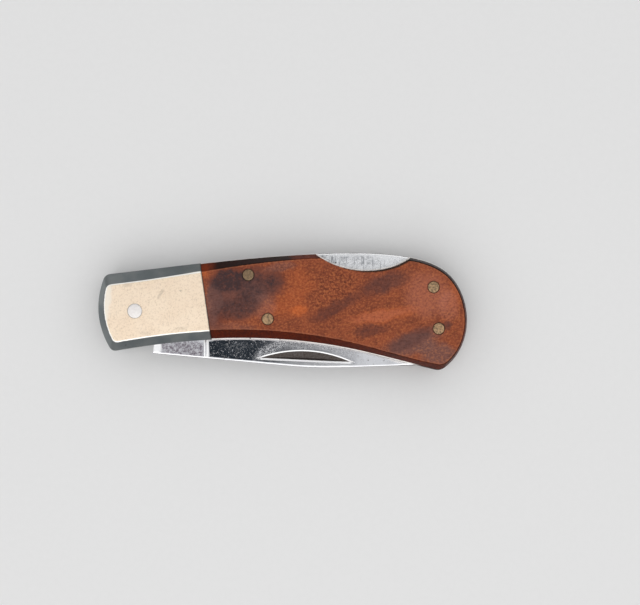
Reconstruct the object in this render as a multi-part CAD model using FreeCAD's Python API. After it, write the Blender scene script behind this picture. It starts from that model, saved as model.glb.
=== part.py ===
import FreeCAD, Part
import math
import os
from FreeCAD import Vector

# A lock-back folding knife, closed, lying on its pile side, with one solid for each piece.
# It is drawn round the blade's pivot: x runs to the butt, y to the back, where the lock bar shows,
# and z to the mark side, which has the nail nick. Sizes are millimetres and degrees.
# At the end every piece is moved so that the origin lies on the surface under the knife,
# below the middle of the handle.

# Thicknesses, from the middle of the blade outwards
BLADE_THICK = 2.4
WASHER_THICK = 0.15
FACE_GAP = 0.02
LINER_THICK = 0.9
COVER_THICK = 3.2
LOCK_BAR_SIDE_GAP = 0.03
SPRING_WIDTH = 2.6

# Handle outline: knots (x, y, width of the bevel there), clockwise from the lower front corner
FRONT_BOTTOM = (-5.0, -8.6)
FRONT_TOP = (-6.4, 7.75)
BEAK = (64.7, -12.75)
FRONT_KNOTS = [(*FRONT_BOTTOM, 1.5), (-7.9, 0.6, 1.4), (*FRONT_TOP, 1.3)]
BACK_KNOTS = [
    (*FRONT_TOP, 2.35),
    (13.6, 10.1, 1.8),
    (30.7, 11.75, 1.0),
    (45.5, 12.38, 0.9),
    (58.3, 11.45, 0.6),
    (66.2, 8.2, 0.5),
    (70.5, -1.9, 0.45),
    (68.6, -8.9, 0.5),
    (*BEAK, 0.8),
]
BELLY_KNOTS = [
    (*BEAK, 1.1),
    (59.3, -11.47, 0.95),
    (44.7, -7.99, 1.35),
    (30.0, -6.17, 1.75),
    (15.9, -6.11, 1.9),
    (*FRONT_BOTTOM, 1.75),
]
CORNER_ROUND = 1.1
BEVEL_HEIGHT = 1.6
BEVEL_EASE = 0.6
SCALE_INSET_BACK = 0.12
SCALE_INSET_BELLY = 0.25

# Seam between bolster and scale, and the thumb scoop in the back
SEAM_TOP_X = 13.8
SEAM_BOTTOM_X = 16.14
SEAM_GAP = 0.03
SCOOP_KNOTS = [(37.2, 12.9), (42.3, 9.75), (49.5, 8.5), (55.0, 9.5), (60.0, 12.6)]
SCOOP_LINER_RIM = 0.3

# Pins and rivets
PIVOT_RADIUS = 1.5
PIN_RADIUS = 1.2
ROCKER_AT = (24.0, 7.64)
SPRING_PIN_AT = (63.2, 5.06)
BUTT_PIN_AT = (64.3, -3.72)
SCALE_RIVET_AT = (28.1, -1.7)
BOLSTER_RIVETS_AT = [(9.5, 5.6), (10.5, -3.4)]
BOLSTER_RIVET_RADIUS = 0.9
BOLSTER_RIVET_DEPTH = 1.9
RIVET_HEAD_EXTRA = 0.5
RIVET_HEAD_HEIGHT = 0.6
SEAT_GAP = 0.01
RUN_GAP = 0.03
WASHER_RADIUS = 4.3
WASHER_BORE_GAP = 0.05

# Lock: the tooth on the lock bar's nose rides round the tang and drops into its notch
OPEN_ANGLE = 168.0
TANG_RADIUS = 5.5
RIDE_GAP = 0.04
LOCK_DROP_ANGLE = 1.7
NOSE_REACH = 4.1
NOSE_GAP = 0.2
TOOTH_WIDTH = 2.4
TOOTH_GAP = 0.1
NECK_CLEAR = 0.9
TAIL_REACH = 36.0
TAIL_GAP = 0.25
BAR_BELLY_KNOTS = [(14.0, 6.0), (20.0, 5.15), (27.5, 5.0), (34.0, 6.6)]
BAR_TAIL_BELLY_Y = 7.2

# Leaf spring, from its slot in the rear spacer to where its tip bears on the lock bar
SPRING_THICK = 0.9
SPRING_ROOT = (61.4, 2.3)
SPRING_MOUTH = (57.6, 2.85)
SPRING_BOW = (48.5, 4.75)
SPRING_TIP_X = 40.0
SPRING_TIP_GAP = 0.06
SLOT_GAP = 0.1

# Rear spacer
SPACER_FRONT_X = 57.4
SPACER_LEDGE_Y = 5.2
SPACER_LOWER_Y = 0.8
SPACER_TOE = (61.4, -7.4)
TIP_CLEAR = 0.5

# Blade, in its own axes: p runs from the pivot along the straight spine, q towards the edge
SPINE_PROUD = 0.3
SPINE_STRAIGHT_END = 30.0
SPINE_LEAD = 4.0
SPINE_KNOTS = [(39.0, -8.55), (47.0, -7.75), (55.0, -6.75)]
TIP = (62.4, -5.85)
EDGE_KNOTS = [(57.5, -2.3), (50.0, 1.2), (41.0, 3.2), (30.0, 3.7)]
EDGE_START = (13.4, 3.6)
CHOIL = (10.8, 3.9)
KICK_FRONT = (9.0, 5.7)
KICK_REAR = (7.2, 6.15)
PLUNGE_SLANT = 8.0
PLUNGE_RADIUS = 1.4
EDGE_HALF_THICK = 0.05
GRIND_STEP = 0.06
CUT_OVERRUN = 0.5
NICK_MIDDLE = (37.6, -7.05)
NICK_TURN = 2.6
NICK_LENGTH = 20.8
NICK_WIDTH = 2.5
NICK_DEPTH = 0.7

# Derived levels and directions
HALF_SLOT = BLADE_THICK / 2 + WASHER_THICK + 2 * FACE_GAP
LINER_FACE = HALF_SLOT + LINER_THICK
COVER_FACE = LINER_FACE + COVER_THICK
BACK_SLOPE = math.degrees(math.atan2(BACK_KNOTS[1][1] - FRONT_TOP[1], BACK_KNOTS[1][0] - FRONT_TOP[0]))
BLADE_TILT = BACK_SLOPE + OPEN_ANGLE - 180
FAR = 200.0
Z_AXIS = Vector(0, 0, 1)


def turned(x, y, angle, about=(0, 0)):
    """The point (x, y) turned by an angle, anticlockwise, about another point."""
    a = math.radians(angle)
    dx = x - about[0]
    dy = y - about[1]
    return (
        about[0] + dx * math.cos(a) - dy * math.sin(a),
        about[1] + dx * math.sin(a) + dy * math.cos(a),
    )


SPINE_LINE = -turned(*FRONT_TOP, -BACK_SLOPE)[1] - SPINE_PROUD


def vec(point, z=0.0):
    return Vector(point[0], point[1], z)


def spline(points):
    curve = Part.BSplineCurve()
    curve.interpolate([vec(p) for p in points])
    return curve


def right_normal(curve, point):
    """Unit normal on the right of the curve's run, which is inwards on a clockwise outline."""
    tangent = curve.tangent(curve.parameter(vec(point)))[0]
    return (tangent.y, -tangent.x)


def prism(points, low, high):
    """A straight-sided solid on a closed polygon."""
    wire = Part.makePolygon([vec(p, low) for p in points] + [vec(points[0], low)])
    return Part.Face(wire).extrude(Vector(0, 0, high - low))


def drum(at, radius, low, high):
    return Part.makeCylinder(radius, high - low, vec(at, low), Z_AXIS)


def mirrored(shape):
    """The same piece on the pile side."""
    return shape.mirror(Vector(0, 0, 0), Z_AXIS)


# Handle outline


def corner_inset(before, after, widths):
    """The step from an outline corner to the point that lies the stated widths inside both curves."""
    (ax, ay), (bx, by) = before, after
    det = ax * by - ay * bx
    return ((widths[0] * by - widths[1] * ay) / det, (ax * widths[1] - bx * widths[0]) / det)


def inset_knots(share, insets):
    """The three outline curves' knots, moved in by a share of the bevel's width and each curve's inset."""
    runs = [FRONT_KNOTS, BACK_KNOTS, BELLY_KNOTS]
    curves = [spline(run) for run in runs]
    moved = []
    for i, run in enumerate(runs):
        points = []
        for j, (x, y, bevel) in enumerate(run):
            step = bevel * share + insets[i]
            nx, ny = right_normal(curves[i], (x, y))
            dx, dy = nx * step, ny * step
            if j == 0:
                other = runs[i - 1][-1]
                normal = right_normal(curves[i - 1], other)
                dx, dy = corner_inset(normal, (nx, ny), (other[2] * share + insets[i - 1], step))
            if j == len(run) - 1:
                after = (i + 1) % 3
                other = runs[after][0]
                normal = right_normal(curves[after], other)
                dx, dy = corner_inset((nx, ny), normal, (step, other[2] * share + insets[after]))
            points.append((x + dx, y + dy))
        moved.append(points)
    return moved


NO_INSETS = (0.0, 0.0, 0.0)
SCALE_INSETS = (SCALE_INSET_BACK, SCALE_INSET_BACK, SCALE_INSET_BELLY)


def outline(share=0.0, insets=NO_INSETS, z=0.0):
    """The closed outline with round corners, moved inwards by a share of the bevel and by insets."""
    curves = [spline(points) for points in inset_knots(share, insets)]
    ends = []
    for curve in curves:
        start = curve.parameterAtDistance(CORNER_ROUND, curve.FirstParameter)
        stop = curve.parameterAtDistance(-CORNER_ROUND, curve.LastParameter)
        ends.append((start, stop))
    edges = []
    for i, curve in enumerate(curves):
        after = curves[(i + 1) % 3]
        edges.append(curve.toShape(*ends[i]))
        corner = Part.BezierCurve()
        corner.setPoles([
            curve.value(ends[i][1]),
            curve.value(curve.LastParameter),
            after.value(ends[(i + 1) % 3][0]),
        ])
        edges.append(corner.toShape())
    wire = Part.Wire(edges)
    wire.translate(Vector(0, 0, z))
    return wire


def handle_slab(low, high):
    """The whole handle outline as a plate."""
    return Part.Face(outline(z=low)).extrude(Vector(0, 0, high - low))


def cover_slab(insets):
    """A bolster and scale in one: a plate on the mark liner with its outer edge bevelled and eased."""
    foot = outline(insets=insets, z=LINER_FACE)
    wall_top = COVER_FACE - BEVEL_HEIGHT
    wall = Part.Face(foot).extrude(Vector(0, 0, wall_top - LINER_FACE))
    bevel = Part.makeLoft(
        [outline(insets=insets, z=wall_top), outline(share=1.0, insets=insets, z=COVER_FACE)], True, True
    )
    slab = wall.fuse(bevel).removeSplitter()
    rim = [e for e in slab.Edges if min(v.Z for v in e.Vertexes) > COVER_FACE - BEVEL_EASE / 2]
    return slab.makeFillet(BEVEL_EASE, rim)


def seam_side(front, gap):
    """All the room in front of, or behind, the slanted seam between bolster and scale."""
    top_y = BACK_KNOTS[1][1]
    bottom_y = BELLY_KNOTS[-2][1]
    slope = (SEAM_BOTTOM_X - SEAM_TOP_X) / (bottom_y - top_y)
    shift = -gap if front else gap
    high = (SEAM_TOP_X + slope * (FAR - top_y) + shift, FAR)
    low = (SEAM_TOP_X + slope * (-FAR - top_y) + shift, -FAR)
    side = -FAR if front else FAR
    return prism([low, high, (side, FAR), (side, -FAR)], 0, FAR)


def scoop(rim, low, high):
    """The thumb scoop's room, raised by a rim."""
    curve = spline([(x, y + rim) for x, y in SCOOP_KNOTS])
    edge = curve.toShape()
    lid = Part.makeLine(edge.Vertexes[-1].Point, edge.Vertexes[0].Point)
    face = Part.Face(Part.Wire([edge, lid]))
    face.translate(Vector(0, 0, low))
    return face.extrude(Vector(0, 0, high - low))


# Handle pieces


def rivet(at, radius, top):
    """A rivet with its head sunk flush in the mark liner's inner face, up to a level."""
    head = Part.makeCone(radius + RIVET_HEAD_EXTRA, radius, RIVET_HEAD_HEIGHT, vec(at, HALF_SLOT), Z_AXIS)
    return drum(at, radius, HALF_SLOT, top).fuse(head).removeSplitter()


def rivet_hole(at, radius, top):
    return rivet(at, radius + SEAT_GAP, top + SEAT_GAP)


def through_holes(pins):
    return [drum(at, radius + SEAT_GAP, -FAR, FAR) for at, radius in pins]


PIVOT = ((0, 0), PIVOT_RADIUS)
LONG_PINS = [(at, PIN_RADIUS) for at in (ROCKER_AT, SPRING_PIN_AT, BUTT_PIN_AT)]


def make_liner():
    plate = handle_slab(HALF_SLOT, LINER_FACE)
    holes = through_holes([PIVOT, *LONG_PINS])
    holes += [rivet_hole(SCALE_RIVET_AT, PIN_RADIUS, COVER_FACE)]
    holes += [rivet_hole(at, BOLSTER_RIVET_RADIUS, COVER_FACE) for at in BOLSTER_RIVETS_AT]
    return plate.cut(Part.Compound([scoop(SCOOP_LINER_RIM, 0, FAR), *holes]))


def make_bolster():
    block = cover_slab(NO_INSETS).common(seam_side(True, SEAM_GAP / 2))
    top = LINER_FACE + BOLSTER_RIVET_DEPTH
    holes = through_holes([PIVOT])
    holes += [rivet_hole(at, BOLSTER_RIVET_RADIUS, top) for at in BOLSTER_RIVETS_AT]
    return block.cut(Part.Compound(holes))


def make_scale():
    block = cover_slab(SCALE_INSETS).common(seam_side(False, SEAM_GAP / 2))
    holes = through_holes([*LONG_PINS, (SCALE_RIVET_AT, PIN_RADIUS)])
    return block.cut(Part.Compound([scoop(0.0, 0, FAR), *holes]))


def make_bolster_rivets():
    top = LINER_FACE + BOLSTER_RIVET_DEPTH
    return Part.Compound([rivet(at, BOLSTER_RIVET_RADIUS, top) for at in BOLSTER_RIVETS_AT])


def make_scale_rivet():
    return rivet(SCALE_RIVET_AT, PIN_RADIUS, COVER_FACE)


def make_washer():
    low = BLADE_THICK / 2 + FACE_GAP
    ring = drum((0, 0), WASHER_RADIUS, low, low + WASHER_THICK)
    return ring.cut(drum((0, 0), PIVOT_RADIUS + WASHER_BORE_GAP, 0, FAR))


def make_pin(at, radius):
    return drum(at, radius, -COVER_FACE, COVER_FACE)


# Lock bar, in axes along and square to the straight back over the bolster

TOOTH_REAR = -NOSE_REACH + TOOTH_WIDTH
TOOTH_RIDE = math.sqrt((TANG_RADIUS + RIDE_GAP) ** 2 - TOOTH_REAR**2)
LOCK_DROP = math.radians(LOCK_DROP_ANGLE) * (ROCKER_AT[0] + NOSE_REACH)
NOTCH_FLOOR = TOOTH_RIDE - LOCK_DROP - TOOTH_GAP
TIP_RADIUS = math.hypot(*TIP)


def bolster_axes(u, v):
    """A point given along and square to the straight back, from the pivot."""
    return turned(u, v, BACK_SLOPE)


def make_lock_bar():
    """The rocker: a tooth at its nose, a thin neck over the tang, an eye for its pin and a thumb tail."""
    half = HALF_SLOT - LOCK_BAR_SIDE_GAP
    neck = TANG_RADIUS + NECK_CLEAR
    neck_end = (TOOTH_WIDTH, math.sqrt(neck**2 - TOOTH_WIDTH**2))
    neck_start = (TOOTH_REAR, math.sqrt(neck**2 - TOOTH_REAR**2))
    nose = [(-NOSE_REACH, FAR), (-NOSE_REACH, TOOTH_RIDE), (TOOTH_REAR, TOOTH_RIDE)]
    nose = [bolster_axes(*point) for point in nose]
    neck_points = [bolster_axes(*neck_start), bolster_axes(0, neck), bolster_axes(*neck_end)]
    seat = (SPRING_TIP_X, BAR_TAIL_BELLY_Y)
    belly = spline([neck_points[2], *BAR_BELLY_KNOTS, seat])
    edges = [Part.makeLine(vec(a), vec(b)) for a, b in zip(nose, nose[1:] + neck_points[:1])]
    edges.append(Part.Arc(*[vec(p) for p in neck_points]).toShape())
    edges.append(belly.toShape())
    outer = [seat, (FAR, BAR_TAIL_BELLY_Y), (FAR, FAR), nose[0]]
    edges += [Part.makeLine(vec(a), vec(b)) for a, b in zip(outer, outer[1:])]
    face = Part.Face(Part.Wire(edges))
    face.translate(Vector(0, 0, -half))
    blank = face.extrude(Vector(0, 0, 2 * half))
    bar = blank.common(handle_slab(-half, half))
    bar = bar.common(drum(ROCKER_AT, TAIL_REACH, -half, half))
    return bar.cut(drum(ROCKER_AT, PIN_RADIUS + RUN_GAP, -FAR, FAR))


# Leaf spring and rear spacer


def bowed(points, first, last):
    """A curve through points that leaves and arrives in the given directions."""
    curve = Part.BSplineCurve()
    curve.interpolate(points, InitialTangent=first, FinalTangent=last)
    return curve


def make_lock_spring():
    """A bowed strip. Its root lies in the spacer's slot and its rounded tip bears up on the lock bar."""
    half = SPRING_THICK / 2
    tip = (SPRING_TIP_X, BAR_TAIL_BELLY_Y - SPRING_TIP_GAP - half)
    bow = (SPRING_MOUTH, SPRING_BOW, tip)
    leaving = (vec(SPRING_MOUTH) - vec(SPRING_ROOT)).normalize()
    level = Vector(-1, 0, 0)
    line = bowed([vec(p) for p in bow], leaving, level)
    normals = [vec(right_normal(line, p)) for p in bow]
    sides = []
    for way in (half, -half):
        points = [vec(p) + n * way for p, n in zip(bow, normals)]
        root = vec(SPRING_ROOT) + normals[0] * way
        sides.append((root, points[0], bowed(points, leaving, level), points[2]))
    upper, lower = sides
    edges = [
        Part.makeLine(upper[0], upper[1]),
        upper[2].toShape(),
        Part.Arc(upper[3], vec(tip) + level * half, lower[3]).toShape(),
        lower[2].toShape(),
        Part.makeLine(lower[1], lower[0]),
        Part.makeLine(lower[0], upper[0]),
    ]
    face = Part.Face(Part.Wire(Part.__sortEdges__(edges)))
    face.translate(Vector(0, 0, -SPRING_WIDTH / 2))
    return face.extrude(Vector(0, 0, SPRING_WIDTH))


def spring_slot():
    """Room for the spring's root, with a gap on every side, open at the spacer's front."""
    root = vec(SPRING_ROOT)
    run = vec(SPRING_MOUTH) - root
    run.normalize()
    side = Vector(-run.y, run.x, 0) * (SPRING_THICK / 2 + SLOT_GAP)
    inner = root - run * SLOT_GAP
    outer = inner + run * FAR
    corners = [inner + side, outer + side, outer - side, inner - side]
    return prism([(c.x, c.y) for c in corners], -FAR, FAR)


def make_rear_spacer():
    """The filler behind the blade's tip and the lock bar's tail, held by the two rear pins."""
    toe_x, toe_y = SPACER_TOE
    blank = prism(
        [
            (ROCKER_AT[0], FAR),
            (ROCKER_AT[0], SPACER_LEDGE_Y),
            (SPACER_FRONT_X, SPACER_LEDGE_Y),
            (SPACER_FRONT_X, SPACER_LOWER_Y),
            SPACER_TOE,
            (toe_x, -FAR),
            (FAR, -FAR),
            (FAR, FAR),
        ],
        -HALF_SLOT,
        HALF_SLOT,
    )
    spacer = blank.common(handle_slab(-HALF_SLOT, HALF_SLOT))
    tail_room = drum(ROCKER_AT, TAIL_REACH + TAIL_GAP, -FAR, FAR)
    above_ledge = prism([(0, SPACER_LEDGE_Y), (FAR, SPACER_LEDGE_Y), (FAR, FAR), (0, FAR)], -FAR, FAR)
    tip_room = drum((0, 0), TIP_RADIUS + TIP_CLEAR, -FAR, FAR)
    below_toe = prism([(0, toe_y), (FAR, toe_y), (FAR, -FAR), (0, -FAR)], -FAR, FAR)
    holes = through_holes(LONG_PINS[1:])
    cuts = [tail_room.common(above_ledge), tip_room.common(below_toe), spring_slot(), *holes]
    return spacer.cut(Part.Compound(cuts))


# Blade, in its own axes until it is turned into the handle


def blade_curves():
    """The spine's drop to the tip, and the edge from the tip back to its start."""
    lead = [(SPINE_STRAIGHT_END - SPINE_LEAD, SPINE_LINE), (SPINE_STRAIGHT_END, SPINE_LINE)]
    spine = spline([*lead, *SPINE_KNOTS, TIP])
    edge = spline([TIP, *EDGE_KNOTS, EDGE_START])
    return spine, edge


def blade_blank(low, high):
    """The blade's side outline as a plate: body, tang, lock notch and the flat for the closed position."""
    spine, edge = blade_curves()
    wall = NOSE_REACH + NOSE_GAP
    start = spine.value(spine.FirstParameter)
    rear = [
        EDGE_START,
        CHOIL,
        KICK_FRONT,
        KICK_REAR,
        (0, TANG_RADIUS),
        (0, 0),
        (wall - TOOTH_WIDTH, -NOTCH_FLOOR),
        (wall, -NOTCH_FLOOR),
        (wall, SPINE_LINE),
        (start.x, start.y),
    ]
    edges = [spine.toShape(), edge.toShape()]
    edges += [Part.makeLine(vec(a), vec(b)) for a, b in zip(rear, rear[1:])]
    face = Part.Face(Part.Wire(edges))
    face.translate(Vector(0, 0, low))
    plate = face.extrude(Vector(0, 0, high - low)).fuse(drum((0, 0), TANG_RADIUS, low, high))
    lock_wall = -TOOTH_REAR - TOOTH_GAP
    notch = [(lock_wall, -NOTCH_FLOOR), (wall, -NOTCH_FLOOR), (wall, -FAR), (lock_wall, -FAR)]
    flat_turn = BACK_SLOPE - BLADE_TILT
    flat = [(-FAR, NOTCH_FLOOR), (TANG_RADIUS, NOTCH_FLOOR), (TANG_RADIUS, FAR), (-FAR, FAR)]
    flat = [turned(u, v, flat_turn) for u, v in flat]
    return plate.cut(Part.Compound([prism(notch, -FAR, FAR), prism(flat, -FAR, FAR)])).removeSplitter()


def grind_rise():
    """How much half thickness the ground face gains for each millimetre from the edge to the spine."""
    return (BLADE_THICK / 2 - GRIND_STEP - EDGE_HALF_THICK) / (EDGE_START[1] - SPINE_LINE)


def grind_wedge():
    """What the grinding of the mark face takes off, from the slanted plunge to the tip."""
    run = Vector(math.tan(math.radians(PLUNGE_SLANT)), -1, grind_rise())
    line = blade_curves()[1].toShape()
    line.translate(Vector(0, 0, EDGE_HALF_THICK) - run * CUT_OVERRUN)
    reach = EDGE_START[1] - SPINE_LINE + 2 * CUT_OVERRUN
    wedge = line.extrude(run * reach).extrude(Vector(0, 0, BLADE_THICK))
    corner = vec(EDGE_START, EDGE_HALF_THICK) - run * CUT_OVERRUN
    at_corner = [e for e in wedge.Edges if any(v.Point.isEqual(corner, 1e-4) for v in e.Vertexes)]
    plunge = [e for e in at_corner if abs(e.tangentAt(e.FirstParameter).y) > 0.9]
    return wedge.makeFillet(PLUNGE_RADIUS, plunge)


def nick_wheel():
    """The wheel that cuts the nail nick: its end face leaves the wall by the spine, its rim the floor."""
    half = NICK_LENGTH / 2
    radius = (half**2 + NICK_DEPTH**2) / (2 * NICK_DEPTH)
    lean = math.atan2(NICK_DEPTH, NICK_WIDTH)
    along = turned(0, 1, NICK_TURN)
    axis = Vector(along[0] * math.cos(lean), along[1] * math.cos(lean), math.sin(lean))
    outward = Vector(-along[0] * math.sin(lean), -along[1] * math.sin(lean), math.cos(lean))
    face = EDGE_HALF_THICK + grind_rise() * (EDGE_START[1] - NICK_MIDDLE[1])
    foot = vec(NICK_MIDDLE, face) - outward * NICK_DEPTH
    return Part.makeCylinder(radius, 2 * NICK_WIDTH, foot + outward * radius, axis)


def make_blade():
    half = BLADE_THICK / 2
    blade = blade_blank(-half, half)
    wedge = grind_wedge()
    blade = blade.cut(Part.Compound([wedge, mirrored(wedge), nick_wheel()]))
    blade = blade.cut(drum((0, 0), PIVOT_RADIUS + RUN_GAP, -FAR, FAR))
    blade.rotate(Vector(0, 0, 0), Z_AXIS, BLADE_TILT)
    return blade


def make_pieces():
    liner = make_liner()
    bolster = make_bolster()
    scale = make_scale()
    scale_rivet = make_scale_rivet()
    bolster_rivets = make_bolster_rivets()
    washer = make_washer()
    return {
        "mark_liner": liner,
        "pile_liner": mirrored(liner),
        "mark_bolster": bolster,
        "pile_bolster": mirrored(bolster),
        "mark_scale": scale,
        "pile_scale": mirrored(scale),
        "mark_scale_rivet": scale_rivet,
        "pile_scale_rivet": mirrored(scale_rivet),
        "mark_bolster_rivets": bolster_rivets,
        "pile_bolster_rivets": mirrored(bolster_rivets),
        "mark_washer": washer,
        "pile_washer": mirrored(washer),
        "pivot_pin": make_pin(*PIVOT),
        "rocker_pin": make_pin(ROCKER_AT, PIN_RADIUS),
        "spring_pin": make_pin(SPRING_PIN_AT, PIN_RADIUS),
        "butt_pin": make_pin(BUTT_PIN_AT, PIN_RADIUS),
        "rear_spacer": make_rear_spacer(),
        "lock_spring": make_lock_spring(),
        "lock_bar": make_lock_bar(),
        "blade": make_blade(),
    }


def export(pieces):
    """Moves every piece to the final origin and writes one file for each."""
    os.makedirs("parts", exist_ok=True)
    box = Part.Compound(list(pieces.values())).optimalBoundingBox(False)
    middle = Vector((box.XMin + box.XMax) / 2, (box.YMin + box.YMax) / 2, -COVER_FACE)
    for name, piece in pieces.items():
        placed = piece.copy()
        placed.translate(-middle)
        placed.exportStep(os.path.join("parts", name + ".step"))
        volume = round(placed.Volume, 2)
        print(name, len(placed.Solids), "solids, volume", volume, "valid", placed.isValid())
    print("pivot at", -middle)
    print("rocker at", vec(ROCKER_AT) - middle)
    print("spring root at", (vec(SPRING_ROOT) + vec(SPRING_MOUTH)) * 0.5 - middle)
    print("size", box.XLength, box.YLength, 2 * COVER_FACE)


export(make_pieces())
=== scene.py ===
# %% [markdown]
# A small folding knife lies closed on its pile side, with the mark side up. The frame already holds every
# solid piece at its real size. This lesson adds the looks: eased edges, peened pins, a bent leaf spring and
# the finish of each surface. Sizes are written in millimetres and turned into metres at the last moment,
# because a knife is easier to think about in millimetres.

# %% Load the frame
import math

import bmesh
import bpy
import numpy
from mathutils import Matrix, Vector
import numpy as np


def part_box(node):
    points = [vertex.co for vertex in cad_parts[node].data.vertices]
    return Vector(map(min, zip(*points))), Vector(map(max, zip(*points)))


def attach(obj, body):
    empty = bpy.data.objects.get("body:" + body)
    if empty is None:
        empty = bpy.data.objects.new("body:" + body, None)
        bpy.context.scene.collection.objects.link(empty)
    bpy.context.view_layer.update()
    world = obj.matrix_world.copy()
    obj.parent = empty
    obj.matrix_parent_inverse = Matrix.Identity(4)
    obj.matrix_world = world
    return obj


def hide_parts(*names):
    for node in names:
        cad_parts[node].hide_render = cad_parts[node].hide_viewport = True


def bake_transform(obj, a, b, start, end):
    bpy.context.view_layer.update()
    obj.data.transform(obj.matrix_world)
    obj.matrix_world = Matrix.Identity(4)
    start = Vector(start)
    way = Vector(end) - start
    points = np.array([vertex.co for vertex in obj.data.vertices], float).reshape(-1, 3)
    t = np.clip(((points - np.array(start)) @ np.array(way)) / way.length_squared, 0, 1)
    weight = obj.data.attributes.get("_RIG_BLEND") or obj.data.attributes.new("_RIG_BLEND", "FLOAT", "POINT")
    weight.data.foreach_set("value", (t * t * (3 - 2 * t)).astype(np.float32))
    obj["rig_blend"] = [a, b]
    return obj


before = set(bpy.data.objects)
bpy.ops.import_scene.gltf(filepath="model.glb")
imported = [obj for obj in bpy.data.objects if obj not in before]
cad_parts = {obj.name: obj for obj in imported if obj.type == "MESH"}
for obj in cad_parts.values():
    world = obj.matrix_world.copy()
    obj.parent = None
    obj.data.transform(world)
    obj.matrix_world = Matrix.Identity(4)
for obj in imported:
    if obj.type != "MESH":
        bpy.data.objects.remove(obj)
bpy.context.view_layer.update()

MM = 0.001

# %% [markdown]
# Most places in this scene hang on a few landmarks: the pivot, the four pins and the middle of the blade's
# thickness. They could be typed in, but then a change in the frame would leave them behind, so they are
# read from the frame's boxes.

# %% Landmarks
LONG_PINS = ("rocker_pin", "spring_pin", "butt_pin")


def middle(node):
    """The middle of a frame piece, in millimetres."""
    low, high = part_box(node)
    return (low + high) / (2 * MM)


def radius(node):
    """The radius of an upright round frame piece, in millimetres."""
    low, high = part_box(node)
    return (high.x - low.x) / (2 * MM)


PIVOT = middle("pivot_pin")
PIVOT_RADIUS = radius("pivot_pin")
PIN_RADIUS = radius("rocker_pin")
MID_Z = PIVOT.z
print("pivot at", PIVOT, "radius", round(PIVOT_RADIUS, 3), "pins", round(PIN_RADIUS, 3))

# %% [markdown]
# The photograph looks straight down, so the camera does too. Its height decides how much more the upper
# edge of the handle spreads than the lower one. A long lens from 40 cm gives the same slight spread. The
# picture is 640 by 605 pixels, and the camera's axis meets the knife a little behind its middle.

# %% Camera
CAMERA_FROM_PIVOT = Vector((39.17, 1.80))
CAMERA_HEIGHT = 400.0
LENS = 103.5
NEAREST = 10.0


def link(name, data):
    """A new object in the scene."""
    thing = bpy.data.objects.new(name, data)
    bpy.context.scene.collection.objects.link(thing)
    return thing


camera = link("camera", bpy.data.cameras.new("camera"))
camera.data.lens = LENS
camera.data.clip_start = NEAREST * MM
camera.location = Vector((*(PIVOT.xy + CAMERA_FROM_PIVOT), CAMERA_HEIGHT)) * MM
bpy.context.scene.camera = camera
bpy.context.scene.view_settings.view_transform = "Standard"
print("camera at", camera.location)

# %% [markdown]
# Every finish below is a small network of nodes. Written out in full, such a network hides its idea under a
# pile of links, so a few helpers come first. One adds a node and fills its sockets, with a link where the
# value is another node's output. The others are the sums and vectors that every finish needs.

# %% Sums and vectors


def feed(tree, socket, value):
    """Links a socket to another node's output, or sets it to a plain value."""
    if isinstance(value, bpy.types.NodeSocket):
        tree.links.new(value, socket)
    else:
        socket.default_value = value


def add(tree, kind, values=None, **settings):
    """Adds a node, with its settings first and then its inputs by name or number."""
    node = tree.nodes.new(kind)
    for name, setting in settings.items():
        setattr(node, name, setting)
    for key, value in (values or {}).items():
        feed(tree, node.inputs[key], value)
    return node


def maths(tree, operation, *values, clamp=False):
    values = dict(enumerate(values))
    return add(tree, "ShaderNodeMath", values, operation=operation, use_clamp=clamp).outputs[0]


def times(tree, a, b, clamp=False):
    return maths(tree, "MULTIPLY", a, b, clamp=clamp)


def minus(tree, a, b, clamp=False):
    return maths(tree, "SUBTRACT", a, b, clamp=clamp)


def scaled_sum(tree, value, factor, start):
    """start + factor * value."""
    return maths(tree, "MULTIPLY_ADD", value, factor, start)


def vector_maths(tree, operation, *vectors, output="Vector"):
    vectors = dict(enumerate(vectors))
    return add(tree, "ShaderNodeVectorMath", vectors, operation=operation).outputs[output]


def split(tree, vector):
    """The X, Y and Z of a vector."""
    return add(tree, "ShaderNodeSeparateXYZ", {0: vector}).outputs


def combine(tree, **parts):
    """A vector from its X, Y and Z."""
    return add(tree, "ShaderNodeCombineXYZ", parts).outputs[0]


def turned(tree, vector, angle):
    """A vector turned about the upright axis."""
    values = {"Vector": vector, "Angle": angle}
    return add(tree, "ShaderNodeVectorRotate", values, rotation_type="Z_AXIS").outputs[0]


print("sums and vectors ready")

# %% [markdown]
# A finish is built up as a painter would do it: a ground colour, and then coats over it, each through its
# own mask. A mask is mostly a ramp over some noise, and where several masks meet, the strongest one counts.

# %% Masks and coats


def ramp(tree, value, low, high, start=0.0, end=1.0):
    """A smooth rise, or fall, of the result as the value goes from low to high."""
    values = {"Value": value, "From Min": low, "From Max": high, "To Min": start, "To Max": end}
    return add(tree, "ShaderNodeMapRange", values, interpolation_type="SMOOTHSTEP").outputs["Result"]


def noise(tree, vector, scale, detail=2.0, roughness=0.5, distortion=0.0, output="Fac"):
    values = {"Vector": vector, "Scale": scale, "Detail": detail, "Roughness": roughness}
    return add(tree, "ShaderNodeTexNoise", values | {"Distortion": distortion}).outputs[output]


def most(tree, *masks):
    """The strongest of several masks."""
    result = masks[0]
    for mask in masks[1:]:
        result = maths(tree, "MAXIMUM", result, mask)
    return result


def blend(tree, amount, a, b, mode="MIX"):
    """Colour b laid over colour a by an amount."""
    return add(tree, "ShaderNodeMix", {0: amount, 6: a, 7: b}, data_type="RGBA", blend_type=mode).outputs[2]


def coats(tree, ground, *layers):
    """Colours laid over a ground in turn. A layer is a mask, its strength and a colour."""
    for mask, strength, colour in layers:
        ground = blend(tree, times(tree, mask, strength), ground, colour)
    return ground


def rgb(red, green, blue):
    """A colour with its opacity."""
    return (red, green, blue, 1.0)


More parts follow.
